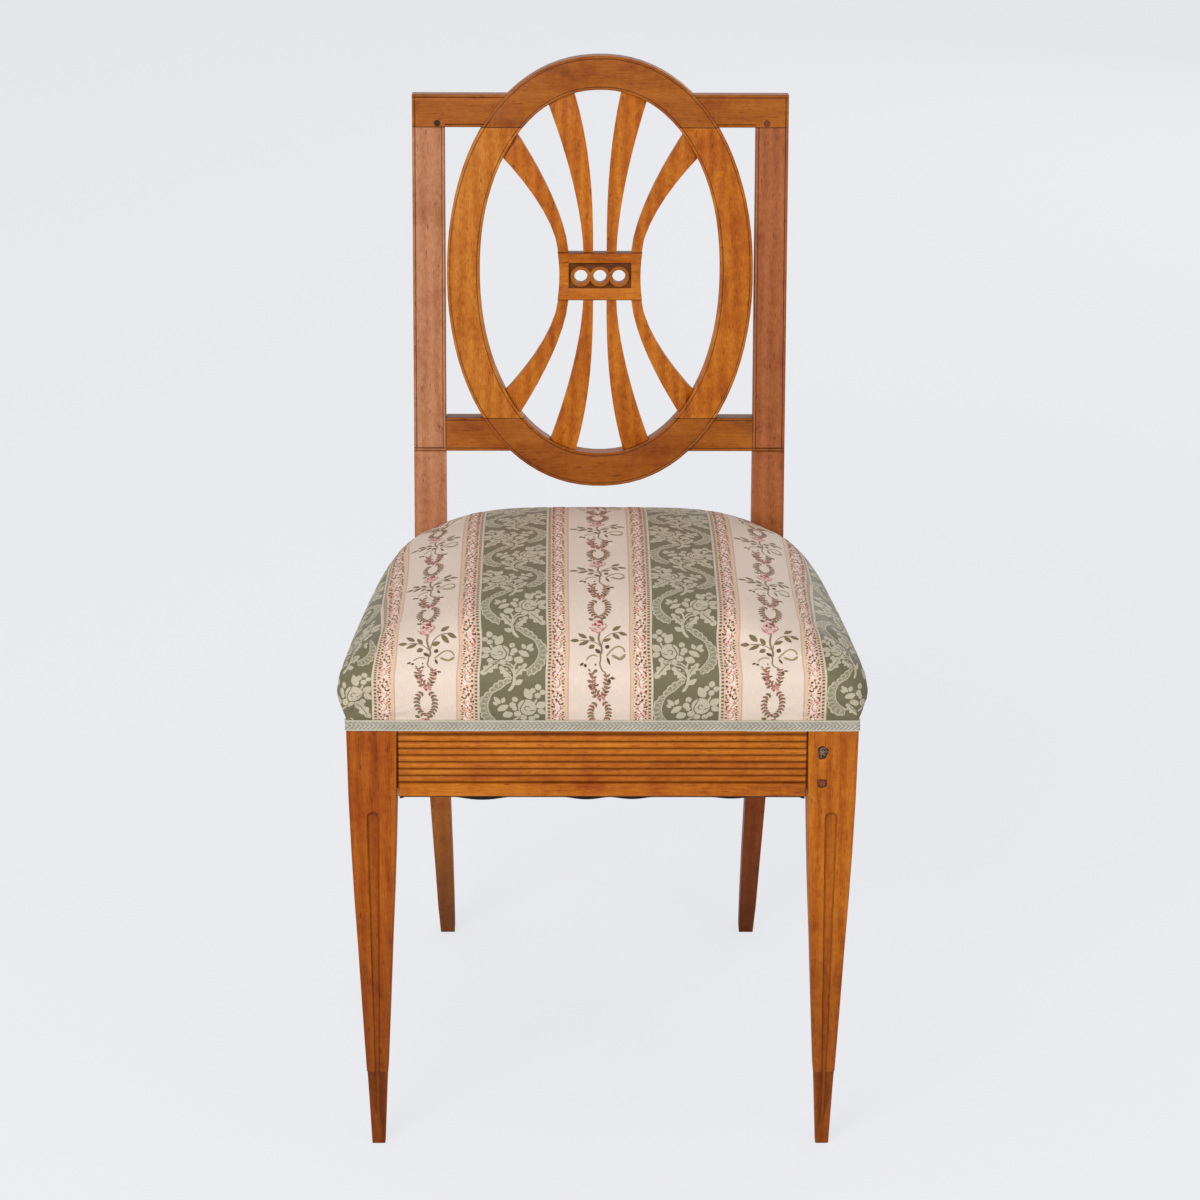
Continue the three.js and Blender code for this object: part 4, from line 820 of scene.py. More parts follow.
def addPleats(rings):
    # a narrow crease down each wall just behind the front corners, where the spare cloth is folded under
    rows, columns = (np.arange(count) for count in rings.shape[:2])
    line = sum(fineCounts[:2])
    reach = np.minimum(np.abs(columns - line), np.abs(columns - (len(columns) - 1 - line)))
    across = np.exp(-(reach / pleat["width"]) ** 2)
    fade = (cover["walls"] * share for share in pleat["fade"])
    down = smoothStep(0.0, pleat["start"], rows) * (1 - smoothStep(*fade, rows))
    return rings - ringNormals(rings) * (pleat["depth"] * across[None, :] * down[:, None])[..., None]


coverRings = tucked(addPleats(coverSmooth), seat["clear"])


def clothPlaces(rings):
    # Cloth coordinates in millimetres: U across the stripes, V along them from the front hem. On top the cloth lies as
    # it falls from above, stretched outwards by its slope; front and rear walls hang straight down from the shoulder,
    # and the front's pattern runs on round the front corners; the side walls hang from the side shoulders.
    rows, columns = rings.shape[:2]
    wall = cover["walls"] - 1
    steps = np.linalg.norm(np.diff(rings, axis=0), axis=-1)
    fromTop = np.zeros((rows, columns))
    fromTop[:-1] = np.cumsum(steps[::-1], 0)[::-1]
    top = np.array([0, seat["crownBack"]])
    out = rings[wall, :, :2] - top
    flat = np.linalg.norm(out, axis=-1)
    towards = out / flat[:, None]
    plan = np.linalg.norm(rings[..., :2] - top, axis=-1)
    stretch = fromTop + plan[-1] - plan
    u = rings[..., 0] + stretch * towards[None, :, 0]
    frontShoulder = fromTop[wall, 0] + plan[-1, 0]
    rearColumn = columns // 2
    rearShoulder = fromTop[wall, rearColumn] + plan[-1, rearColumn]
    crownV = fromTop[0, 0] - fromTop[wall, 0] + frontShoulder - cover["hemToBraid"]
    v = crownV + rings[..., 1] - seat["crownBack"] + stretch * towards[None, :, 1]
    depth = np.clip(fromTop - fromTop[wall], 0, None)
    edge = np.linalg.norm(np.diff(rings, axis=1, append=rings[:, :1]), axis=-1)
    around = edge[:, :1] / 2 + np.cumsum(edge, 1) - edge
    right = np.arange(columns) < columns // 2
    around = np.where(right, around, around - edge.sum(1, keepdims=True))
    behind = np.where(right, 1, -1) * edge.sum(1, keepdims=True) / 2 - around
    lift = np.clip(fromTop[wall] - fromTop, 0, None)
    frontU, frontV = around, (crownV - frontShoulder) - depth + lift
    rearU, rearV = behind, (crownV + rearShoulder) + depth - lift
    sideU = u[wall] + np.sign(rings[wall, :, 0]) * depth
    sideV = v[wall] + rings[..., 1] - rings[wall, :, 1]
    low = smoothStep(wall + 0.22 * cover["dome"], wall - 0.2 * cover["walls"], np.arange(rows))[:, None]

    def mixed(wallU, wallV):
        return np.stack([u + (wallU - u) * low, v + (wallV - v) * low], -1)

    return mixed(frontU, frontV), mixed(sideU, sideV), mixed(rearU, rearV)


regionPlaces = clothPlaces(coverSmooth)


def coverMesh():
    # outer rings, a fan at the crown, a coarser inner wall one cloth thickness in, and the strip that joins them below
    rows, columns = coverRings.shape[:2]
    step = cover["refine"]
    inner = tucked(sunk(coverSmooth, cover["thickness"])[::step, step // 2::step], seat["clear"] + cover["thickness"])
    innerRows, innerColumns = inner.shape[:2]
    outerCount, innerCount = rows * columns, innerRows * innerColumns
    crown, innerCrown = outerCount + innerCount, outerCount + innerCount + 1
    points = np.vstack([coverRings.reshape(-1, 3), inner.reshape(-1, 3), coverRings[-1].mean(0), inner[-1].mean(0)])
    fan = fanFaces((rows - 1) * columns + np.arange(columns), crown)
    inside = ringFaces(innerRows, innerColumns, outerCount)[:, ::-1]
    innerLast = outerCount + (innerRows - 1) * innerColumns + np.arange(innerColumns)
    outerHem, innerHem = np.arange(columns), outerCount + np.arange(columns) // step
    afterOuter, afterInner = np.roll(outerHem, -1), np.roll(innerHem, -1)
    hem = np.stack([afterOuter, outerHem, innerHem], -1)
    join = np.stack([afterOuter, innerHem, afterInner], -1)[innerHem != afterInner]
    return points, [ringFaces(rows, columns), fan, inside, fanFaces(innerLast, innerCrown, inward=True), hem, join]


def cornerPlaces():
    # each face takes the cloth coordinates of its own region, so the pattern breaks only at a pleat
    rows, columns = coverRings.shape[:2]
    front, side, rear = (np.concatenate([part, part[-1:]]) for part in regionPlaces)
    rank = np.minimum(np.arange(columns), columns - 1 - np.arange(columns))
    after = np.roll(rank, -1)
    frontEnd, rearStart = sum(fineCounts[:2]), sum(fineCounts[:3])
    region = np.where(np.maximum(rank, after) < frontEnd, 0, np.where(np.minimum(rank, after) >= rearStart, 2, 1))
    row, column = np.meshgrid(np.arange(rows - 1), np.arange(columns), indexing="ij")
    rowsOf = np.stack([row, row, row + 1, row + 1], -1)
    columnsOf = np.stack([column, (column + 1) % columns, (column + 1) % columns, column], -1)
    choices = np.stack([part[rowsOf, columnsOf] for part in (front, side, rear)])
    chosen = np.take_along_axis(choices, region[column][None, :, :, None, None], 0)[0]
    return chosen.reshape(-1, 4, 2)


stripes = {
    "centre": -3.0, "repeat": 151.5, "rib": 0.9, "dots": (42.9, 45.1), "picot": 3.65, "picotShare": 0.52,
    "picotColour": "#64503C",
}
# distance from the middle of a cream stripe at which each band starts, and its colour
bands = [
    (0.0, "#E3CFBE"), (26.6, "#C9AB96"), (27.6, "#DDBB9C"), (30.4, "#E6C7AE"), (41.0, "#DDB59B"),
    (42.6, "#D0B9A2"), (45.3, "#D0C2AA"), (46.8, "#726A4F"),
]
waveSpacing = 0.31416  # how far apart the bands of a wave texture lie at scale 1


def makeStripedDamask(name, ground=None):
    # Silk and cotton lampas: satin stripes with fine warp ribs, a low sheen, and a row of picot dots at each border.
    material, tree, shader = newMaterial(name, **{
        "Sheen Weight": 0.05, "Sheen Roughness": 0.45, "Specular IOR Level": 0.2,
    })
    place = addNode(tree, "ShaderNodeUVMap", uv_map="cloth").outputs[0]
    axes = addNode(tree, "ShaderNodeSeparateXYZ", {"Vector": place}).outputs
    repeat = stripes["repeat"] * mm
    offset = maths(tree, "WRAP", maths(tree, "SUBTRACT", axes[0], stripes["centre"] * mm), repeat / 2, -repeat / 2)
    distance = maths(tree, "ABSOLUTE", offset)
    ribs = addNode(
        tree, "ShaderNodeTexWave",
        {"Vector": place, "Scale": waveSpacing / (stripes["rib"] * mm), "Distortion": 0.4, "Detail": 1.0},
        wave_type="BANDS", bands_direction="X",
    ).outputs[1]
    warpwise, weftwise = (
        addNode(tree, "ShaderNodeMapping", {"Vector": place, "Scale": scale}).outputs[0]
        for scale in ((1.0, 0.06, 1.0), (0.12, 1.0, 1.0))
    )
    warps, wefts, clouds = (
        addNode(tree, "ShaderNodeTexNoise", {"Vector": vector, "Scale": scale, "Detail": detail}).outputs[0]
        for vector, scale, detail in ((warpwise, 1900.0, 3.0), (weftwise, 1500.0, 2.0), (place, 9.0, 2.0))
    )
    if ground:
        colour = linear(ground)
    else:
        steps = [(edge / (stripes["repeat"] / 2), hexColour) for edge, hexColour in bands]
        colour = colourSteps(tree, maths(tree, "DIVIDE", distance, repeat / 2), steps, "CONSTANT")
        low, high = (edge * mm for edge in stripes["dots"])
        beyond, within = maths(tree, "GREATER_THAN", distance, low), maths(tree, "LESS_THAN", distance, high)
        pulse = maths(tree, "WRAP", axes[1], stripes["picot"] * mm, 0.0)
        inDot = maths(tree, "LESS_THAN", pulse, stripes["picot"] * stripes["picotShare"] * mm)
        inDot = maths(tree, "MULTIPLY", maths(tree, "MULTIPLY", beyond, within), inDot)
        colour = blended(tree, "MIX", inDot, colour, linear(stripes["picotColour"]))
    shade = maths(tree, "MULTIPLY_ADD", warps, 0.3, maths(tree, "MULTIPLY_ADD", wefts, 0.16, 0.76))
    shade = maths(tree, "MULTIPLY_ADD", ribs, 0.05, shade)
    shade = maths(tree, "MULTIPLY_ADD", clouds, 0.06, maths(tree, "SUBTRACT", shade, 0.05))
    grey = addNode(tree, "ShaderNodeCombineColor", {0: shade, 1: shade, 2: shade}).outputs[0]
    # the green satin is glossier than the cream ground
    satin = maths(tree, "GREATER_THAN", distance, bands[-1][0] * mm)
    tree.links.new(maths(tree, "MULTIPLY_ADD", satin, -0.12, 0.58), shader.inputs["Roughness"])
    height = maths(tree, "MULTIPLY_ADD", ribs, 0.5, maths(tree, "MULTIPLY_ADD", warps, 0.6, wefts))
    finishSurface(tree, shader, blended(tree, "MULTIPLY", 1.0, colour, grey), height, 0.25, 0.0002)
    return material


def layCloth(mesh, places):
    # writes cloth coordinates, in metres, on a mesh's face corners
    layer = mesh.uv_layers.new(name="cloth")
    layer.data.foreach_set("uv", (np.asarray(places) * mm).astype(np.float32).ravel())


def coverPlaces(faceSets):
    # every face corner's place: the rings' own, the crown fan's, and one place for the hidden inner faces
    ring = regionPlaces[0][-1]
    crown = np.tile(ring.mean(0), (len(ring), 1))
    fan = np.stack([ring, np.roll(ring, -1, 0), crown], 1)
    spare = np.tile(ring.mean(0), (sum(part.size for part in faceSets[2:]), 1))
    return np.vstack([outerPlaces.reshape(-1, 2), fan.reshape(-1, 2), spare])


damask = makeStripedDamask("striped lampas, silk and cotton")
points, faceSets = coverMesh()
outerPlaces = cornerPlaces()
seatCover = newPiece("seatCover", points, faceSets, damask, replaces=("seat_cover",))
layCloth(seatCover.data, coverPlaces(faceSets))
print("seat cover done:", len(seatCover.data.polygons), "faces")

# Stuffing, hessian, webbing, dust cover and braid

stuffing = {"gap": 1.3, "floor": 433.1, "rows": 40, "columns": 3}
hessian = {
    "low": 431.9, "thickness": 0.75, "front": 6.5, "back": 412.5, "side": 6.0, "legClear": 2.0, "rows": 60,
    "columns": 50,
}
webbing = {
    "width": 50.0, "thickness": 1.4, "low": 428.3, "level": 1.8, "ends": (7.0, 412.4), "side": 6.5, "middle": 209.75,
    "along": 88.0, "across": 92.0, "climb": 1.45, "rib": 0.03,
}
dustCover = {
    "top": 351.1, "gap": 0.25, "thickness": 0.8, "inset": 3.8, "clear": 1.2, "legInner": 180.0, "legWidth": 45.0,
    "rows": (16, 40), "columns": 150, "corner": (1.9, 2.2, 1.8), "hang": 9,
    # each wave of the slack front edge: its middle, its reach to each side and its depth
    "slack": ((-106, 24, 2.7), (-14, 19, 2.2), (26, 18, 1.9), (114, 17, 1.4)),
}
braid = {"low": 415.4, "height": 10.5, "thickness": 1.5, "inner": 0.3, "plait": 3.9, "cord": 1.6, "step": 0.55}


def closedSlab(upper, lower):
    # two grids of the same size, closed round their rim; the upper one faces up or outwards
    rows, columns = upper.shape[:2]
    count = rows * columns
    quads = gridFaces(rows, columns)
    rim = np.concatenate([
        np.arange(columns), np.arange(1, rows) * columns + columns - 1,
        (rows - 1) * columns + np.arange(columns - 1)[::-1], np.arange(1, rows - 1)[::-1] * columns,
    ])
    following = np.roll(rim, -1)
    sides = np.stack([following, rim, rim + count, following + count], -1)
    points = np.vstack([upper.reshape(-1, 3), lower.reshape(-1, 3)])
    return points, np.concatenate([quads, quads[:, ::-1] + count, sides])


def makeStuffing():
    # the cover's inner form drawn in by a gap, each column cut at the hessian, closed by flat fans below and above
    step = stuffing["columns"]
    rings = sunk(coverSmooth, cover["thickness"] + stuffing["gap"])[:, step // 2::step]
    rings = tucked(rings, seat["clear"] + cover["thickness"] + stuffing["gap"])
    rows, columns = rings.shape[:2]
    every = np.arange(columns)
    below = (rings[:, :, 2] < stuffing["floor"]).sum(0)
    low, high = rings[below - 1, every, 2], rings[below, every, 2]
    start = below - 1 + (stuffing["floor"] - low) / (high - low)
    place = start + (rows - 1 - start) * np.linspace(0, 1, stuffing["rows"])[:, None]
    row = np.clip(place.astype(int), 0, rows - 2)
    way = (place - row)[..., None]
    form = rings[row, every] * (1 - way) + rings[row + 1, every] * way
    form[0, :, 2] = stuffing["floor"]
    count = len(form) * columns
    points = np.vstack([form.reshape(-1, 3), form[-1].mean(0), [0, seat["dropStart"], stuffing["floor"]]])
    top, base = fanFaces(count - columns + every, count), fanFaces(every, count + 1, inward=True)
    faces = [ringFaces(len(form), columns), top, base]
    piece = newPiece("seatPad", points, faces, wadding, replaces=("seat_stuffing",))


def addSlab(name, upper, lower, material, node, axes=(0, 1)):
    # a closed slab whose cloth coordinates are two of its own axes
    points, faces = closedSlab(upper, lower)
    piece = newPiece(name, points, [faces], material, replaces=(node,))
    layCloth(piece.data, points[faces][..., axes].reshape(-1, 2))
    return piece


def notchedSheet(y, half, top, form):
    # A level sheet whose half width steps at each notch: rows at y, columns from -1 to 1 times the half width.
    # Returns its two faces, its flat size and its area, both in metres.
    share = np.linspace(-1, 1, form["columns"])
    x = half[:, None] * share
    upper = np.stack([x, y[:, None] + 0 * share, top(x, y[:, None] + 0 * share)], -1)
    area = 2 * float(np.sum((half[1:] + half[:-1]) / 2 * np.diff(y)))
    flat = (2 * float(half.max()) * mm, float(y[-1] - y[0]) * mm)
    return upper, upper - [0, 0, form["thickness"]], flat, area * mm * mm


def makeHessian():
    # plain jute over the webbing and the rails, its rear corners notched round the rear legs
    legFront = seat["legFront"] - hessian["legClear"]
    y = np.concatenate([np.linspace(hessian["front"], legFront, hessian["rows"]), [legFront, hessian["back"]]])
    notched = np.arange(len(y)) >= hessian["rows"]
    half = np.where(notched, seat["legInner"] - hessian["legClear"], sideX(y) - hessian["side"])
    level = hessian["low"] + hessian["thickness"]
    upper, lower, flat, area = notchedSheet(y, half, lambda x, y: level + 0 * x, hessian)
    piece = addSlab("hessianSheet", upper, lower, jute, "seat_hessian")


def makeWebbing():
    share = np.linspace(-1, 1, 9)
    width, half = webbing["width"], webbing["width"] / 2
    middle, spacing = webbing["middle"], webbing["along"]
    for place, name in zip((-1, 0, 1), ("front", "middle", "rear")):
        y = middle + place * spacing + half * share[:, None]
        x = (sideX(y) - webbing["side"]) * np.linspace(-1, 1, 70)[None, :]
        top = webbing["low"] + webbing["thickness"] + webbing["rib"] * np.cos(x * 0.7)
        upper = np.stack([x, y + 0 * x, top], -1)
        lower = upper * [1, 1, 0] + [0, 0, webbing["low"]]
        piece = addSlab("strapCross_" + name, upper, lower, webbingCloth, "webbing_cross_" + name, (1, 0))
    y = np.linspace(*webbing["ends"], 130)[:, None]
    # over and under the cross straps: flat on each, with a smooth climb between
    for side, over, name in ((-1, -1, "left"), (0, 1, "middle"), (1, -1, "right")):
        swing = np.clip(webbing["climb"] * np.cos(np.pi * (y - middle) / spacing), -1, 1) * over
        reach = smoothStep(0, 12, spacing + half + 14 - np.abs(y - middle))
        x = side * webbing["across"] + half * share[None, :]
        base = webbing["low"] + webbing["level"] * swing * reach
        lower = np.stack([x + 0 * y, y + 0 * x, base + 0 * x], -1)
        upper = lower + [0, 0, webbing["thickness"]]
        piece = addSlab("strapLong_" + name, upper, lower, webbingCloth, "webbing_long_" + name)


def makeDustCover():
    # a thin black sheet tacked under the rails; its front edge hangs down in slack waves between the legs
    clear, inset = dustCover["clear"], dustCover["inset"]
    legBack, legFront = dustCover["legWidth"] + clear, seat["legFront"] - clear
    first, second = dustCover["rows"]
    y = np.concatenate([
        np.linspace(inset, legBack, first), np.linspace(legBack, legFront, second),
        [legFront, seat["railBack"] - inset],
    ])
    order = np.arange(len(y))
    half = np.where(order < first + second, sideX(y) - inset, seat["legInner"] - clear)
    half = np.where(order < first, dustCover["legInner"] - clear, half)

    def level(x, y):
        slack = sum(
            depth * np.clip(1 - ((x - place) / reach) ** 2, 0, 1) ** 1.5 for place, reach, depth in dustCover["slack"]
        )
        edge = np.clip(1 - (y - inset) / dustCover["hang"], 0, 1) ** 2
        drop, off, width = dustCover["corner"]
        corner = drop * np.exp(-((np.abs(x) - dustCover["legInner"] + off) / width) ** 2)
        return dustCover["top"] - edge * (slack + corner) - dustCover["gap"]

    upper, lower, flat, area = notchedSheet(y, half, level, dustCover)
    piece = addSlab("dustSheet", upper, lower, dustCloth, "dust_cover")


def braidForm(path, outwards):
    # Gimp carried along a path: a cord along each edge and a plait of slanted strands between them. Height over the
    # inner face is the cord's half round near the edges, and the ridge of the nearer slanted strand in between.
    length = runAlong(path)
    at = np.linspace(0, length[-1], int(length[-1] / braid["step"]))
    x, y = (np.interp(at, length, path[:, axis]) for axis in (0, 1))
    normal = np.stack([np.interp(at, length, outwards[:, axis]) for axis in (0, 1)], -1)
    normal /= np.linalg.norm(normal, axis=1, keepdims=True)
    share = np.concatenate([[0, 0.03, 0.08, 0.13, 0.16], np.linspace(0.2, 0.8, 9), [0.84, 0.87, 0.92, 0.97, 1]])
    share = share[:, None]
    z = braid["height"] * share
    edge = np.minimum(z, braid["height"] - z)
    cord = np.sqrt(np.clip(1 - ((edge - braid["cord"] / 2) / (braid["cord"] / 2)) ** 2, 0, 1))
    slant = np.abs(z - braid["height"] / 2)
    strand = np.abs(np.sin(np.pi * (at[None, :] + slant * 1.1) / braid["plait"]))
    twist = 0.12 * np.abs(np.sin(np.pi * (at[None, :] + edge * 1.5) / 1.7))
    rise = np.where(edge < braid["cord"] * 1.02, 0.45 + 0.85 * cord + twist * cord, 0.4 + 0.85 * strand)
    rise = np.clip(rise, 0, braid["thickness"])
    # gap is painted shade where the strands sink between each other
    gap = np.clip((1.05 - rise) / 0.55, 0, 1) * (edge > 0.5)
    edging = np.clip((braid["cord"] - edge) / 0.3, 0, 1) + 0 * gap
    wave = 0.35 * np.sin(at / 27) + 0.2 * np.sin(at / 9.5 + 1)
    level = braid["low"] + z + np.clip(wave, -0.05, 0.5)[None, :] * (1 - share) * 0.8
    outer, inner = (
        np.stack([x + normal[:, 0] * height, y + normal[:, 1] * height, level], -1)
        for height in (braid["inner"] + rise, braid["inner"] + 0 * rise)
    )
    return outer, inner, length[-1], gap, edging


def makeBraid():
    # one length round the front and sides, one across the back between the rear legs
    ring = coverSmooth[0, :, :2]
    turned = np.stack([ring[:, 1] - np.roll(ring[:, 1], 2), np.roll(ring[:, 0], 2) - ring[:, 0]], -1)
    turned = np.roll(turned, -1, 0)
    order = np.roll(np.arange(len(ring)), len(ring) // 2)
    path, outwards = ring[order], turned[order] / np.linalg.norm(turned[order], axis=1, keepdims=True)
    front = path[:, 1] < seat["legFront"] - 1
    back = ring[(np.abs(ring[:, 0]) < seat["legInner"] - 1) & (ring[:, 1] > seat["legFront"])]
    back = back[np.argsort(-back[:, 0])]
    behind = np.tile([[0.0, 1.0]], (len(back), 1))
    rails = ["front_rail", "side_rail_left", "side_rail_right"]
    for name, line, normals, node, rests in (
        ("gimpFront", path[front], outwards[front], "braid_front_and_sides", rails),
        ("gimpBack", back, behind, "braid_back", ["rear_rail"]),
    ):
        outer, inner, run, gap, edging = braidForm(line, normals)
        points, faces = closedSlab(outer, inner)
        piece = newPiece(name, points, [faces], gimp, replaces=(node,))
        paintPoints(piece.data, "gap", np.append(gap, 0 * gap))
        paintPoints(piece.data, "edging", np.append(edging, 0 * edging))
        print(name, round(float(run)), "mm long,", len(faces), "faces")


# Woven figures: each is a small closed patch that stands a fifth of a millimetre proud of the cloth it follows

tableStep = 2.5
tableLow = outerPlaces.reshape(-1, 2).min(0)
coverPoints = coverRings.reshape(-1, 3)
coverNormals = ringNormals(coverRings).reshape(-1, 3)


def faceTable():
    # a square table over the cloth coordinates that gives a face near each place; empty cells take a neighbour's face
    size = np.ceil((outerPlaces.reshape(-1, 2).max(0) - tableLow) / tableStep).astype(int) + 1
    table = np.full(size, -1)
    cell = ((outerPlaces.mean(1) - tableLow) / tableStep).astype(int)
    table[cell[:, 0], cell[:, 1]] = np.arange(len(outerPlaces))
    for _ in range(4):
        for axis in (0, 1):
            for step in (1, -1):
                table = np.where(table < 0, np.roll(table, step, axis), table)
    return table


nearFace = faceTable()


def crownTerms(places):
    # the terms of a cubic in U and V, both measured from the crown
    u, v = (places - crownPlace).T / 30
    return np.stack([u ** power * v ** other for power in range(4) for other in range(4 - power)], -1)


# Where the rings close at the crown their faces are too thin to walk over; there the cover follows a cubic in U and V
# that is fitted to its points and normals within 30 mm.
crownPlace = outerPlaces[-coverRings.shape[1]:].reshape(-1, 2).mean(0)
cornerPlace, cornerIndex = outerPlaces.reshape(-1, 2), faceSets[0].ravel()
close = np.linalg.norm(cornerPlace - crownPlace, axis=1) < 30
crownFit = np.linalg.lstsq(
    crownTerms(cornerPlace[close]), np.hstack([coverPoints, coverNormals])[cornerIndex[close]], rcond=None,
)[0]


def ontoCover(places):
    # Cloth coordinates to points and normals on the cover: from a face close by, walk over the grid by the whole faces
    # that the place lies away, until it lies inside one, then mix that face's corners bilinearly.
    columns = coverRings.shape[1]
    rows = coverRings.shape[0] - 1
    cell = np.clip(((places - tableLow) / tableStep).astype(int), 0, np.array(nearFace.shape) - 1)
    face = nearFace[cell[:, 0], cell[:, 1]]
    lost = face < 0
    face = np.where(lost, 0, face)
    for _ in range(24):
        flat = outerPlaces[face]
        along = (flat[:, 1] - flat[:, 0] + flat[:, 2] - flat[:, 3]) / 2
        upward = (flat[:, 3] - flat[:, 0] + flat[:, 2] - flat[:, 1]) / 2
        size = along[:, 0] * upward[:, 1] - along[:, 1] * upward[:, 0]
        size = np.where(np.abs(size) < 1e-9, 1e-9, size)
        away = places - flat[:, 0]
        s = (away[:, 0] * upward[:, 1] - away[:, 1] * upward[:, 0]) / size
        t = (along[:, 0] * away[:, 1] - along[:, 1] * away[:, 0]) / size
        stepS, stepT = (
            np.where(np.abs(way - 0.5) < 0.56, 0, np.clip(np.floor(way), -4, 4)).astype(int) for way in (s, t)
        )
        face = np.clip(face // columns + stepT, 0, rows - 1) * columns + (face % columns + stepS) % columns
    lost |= (np.abs(s - 0.5) > 0.6) | (np.abs(t - 0.5) > 0.6)
    s, t = np.clip(s, 0, 1)[:, None], np.clip(t, 0, 1)[:, None]
    weights = np.stack([(1 - s) * (1 - t), s * (1 - t), s * t, (1 - s) * t], 1)
    corners = faceSets[0][face]
    points = (coverPoints[corners] * weights).sum(1)
    normals = (coverNormals[corners] * weights).sum(1)
    crown = lost & (np.linalg.norm(places - crownPlace, axis=1) < 26)
    fitted = crownTerms(places[crown]) @ crownFit
    points[lost] = np.nan
    points[crown], normals[crown] = fitted[:, :3], fitted[:, 3:]
    return points, normals


woven = {"fuller": 1.4, "lobes": 3.5, "sunk": 0.12, "across": 2.6, "stretch": 1.75, "slack": 0.35, "overHem": 3}
spray = {"spacing": 3.5, "length": 4.1, "width": 1.5, "spread": 48}


def bandAbout(line, side, half):
    # the two edges of a shape about its middle line
    return line + side * half[:, None], line - side * half[:, None]


def straightBand(leaf, half):
    # a shape from its base to its tip, with its half widths at even steps between
    u0, v0, u1, v1 = leaf[:4]
    way = np.linspace(0, 1, len(half))
    line = np.stack([u0 + (u1 - u0) * way, v0 + (v1 - v0) * way], -1)
    return bandAbout(line, np.array([v0 - v1, u1 - u0]) / max(math.hypot(u1 - u0, v1 - v0), 1e-6), half)


def leafShape(leaf):
    # a pointed oval
    return straightBand(leaf, leaf[4] * woven["fuller"] / 2 * np.array([0.2, 0.78, 1.0, 0.92, 0.6, 0.06]))


def lobedShape(leaf):
    # a leaf whose half width is a rounded arch along it times the lobes' own swell and waist
    way = np.linspace(0, 1, 13)
    arch = np.sin(np.pi * np.clip(way, 0.02, 0.98)) ** 0.6
    return straightBand(leaf, leaf[4] / 2 * arch * (0.8 + 0.28 * np.cos(2 * np.pi * woven["lobes"] * (way - 0.62))))


def discShape(disc):
    # a round spot, cut in chords
    u, v, radius = disc
    angle = np.linspace(0.12, np.pi - 0.12, 6 if radius < 5 else 11)
    return tuple(np.stack([u + side * radius * np.sin(angle), v - radius * np.cos(angle)], -1) for side in (-1, 1))


def smoothLine(stops, run, at):
    # the smooth line through the stops, at distances along it
    return np.stack([throughPoints(at, run, stops[:, axis]) for axis in (0, 1)], -1)


def lineShape(width, stops):
    # a stem: a smooth line through its stops, tapered at both ends
    stops = np.asarray(stops, float)
    run = runAlong(stops)
    at = np.linspace(0, run[-1], max(4, int(run[-1] / 1.7)))
    line = smoothLine(stops, run, at)
    return bandAbout(line, sidewaysOf(line), width / 2 * np.clip(np.minimum(at, at[-1] - at) / 1.5 + 0.35, 0, 1))


def moved(shape, u, v, mirror=1):
    # a copy of a shape with its origin at (u, v), mirrored in U when mirror is -1
    left, right = shape
    ends = [part * [mirror, 1] + [u, v] for part in (left, right)]
    return tuple(ends[::mirror])


def weave(name, material, shapes, height):
    # all shapes of one colour as one piece: top and under side of every shape as small grids, closed round their rims
    places, blocks = [], []
    for left, right in shapes:
        width = np.linalg.norm(left - right, axis=1).max()
        across = 2 + int(width / woven["across"])
        share = np.linspace(0, 1, across)[None, :, None]
        places.append((left[:, None] * (1 - share) + right[:, None] * share).reshape(-1, 2))
        blocks.append((len(left), across))
    counts = np.array([len(part) for part in places])
    starts = np.concatenate([[0], np.cumsum(counts)[:-1]])
    places = np.vstack(places)
    points, normals = ontoCover(places)
    allPoints, allFaces, allPlaces, total = [], [], [], 0
    for start, count, (rows, across) in zip(starts, counts, blocks):
        grid = points[start:start + count].reshape(rows, across, 3)
        flat = places[start:start + count].reshape(rows, across, 2)
        if np.isnan(grid).any():
            continue
        # a shape that the cover would pull out of form, or that reaches the braid, is left out
        real, wanted = (
            np.concatenate([np.linalg.norm(np.diff(part, axis=axis), axis=-1).ravel() for axis in (0, 1)])
            for part in (grid, flat)
        )
        pulled = real > woven["stretch"] * wanted + woven["slack"]
        if pulled.any() or (grid[..., 2] < seat["hem"] + woven["overHem"]).any():
            continue
        normal = normals[start:start + count].reshape(rows, across, 3)
        allPoints += [(grid + normal * height).reshape(-1, 3), (grid - normal * woven["sunk"]).reshape(-1, 3)]
        quads = gridFaces(rows, across)
        rim = np.concatenate([
            np.arange(rows) * across, (rows - 1) * across + np.arange(1, across),
            (np.arange(rows - 1) * across + across - 1)[::-1], np.arange(1, across - 1)[::-1],
        ])
        following = np.roll(rim, -1)
        sides = np.stack([rim, following, following + count, rim + count], -1)
        allFaces.append(np.concatenate([quads, quads[:, ::-1] + count, sides]) + total)
        allPlaces += [places[start:start + count]] * 2
        total += 2 * count
    faces = np.concatenate(allFaces)
    allPoints, allPlaces = np.vstack(allPoints), np.vstack(allPlaces)
    piece = newPiece(name, allPoints, [faces], material, smooth=False)
    layCloth(piece.data, allPlaces[faces].reshape(-1, 2))
    print("woven", name, "-", len(allFaces), "of", len(blocks), "shapes,", len(faces), "faces")


# The figures in millimetres: leaves as (base u, v, tip u, v, width), spots as (u, v, radius), stems as (width, stops)

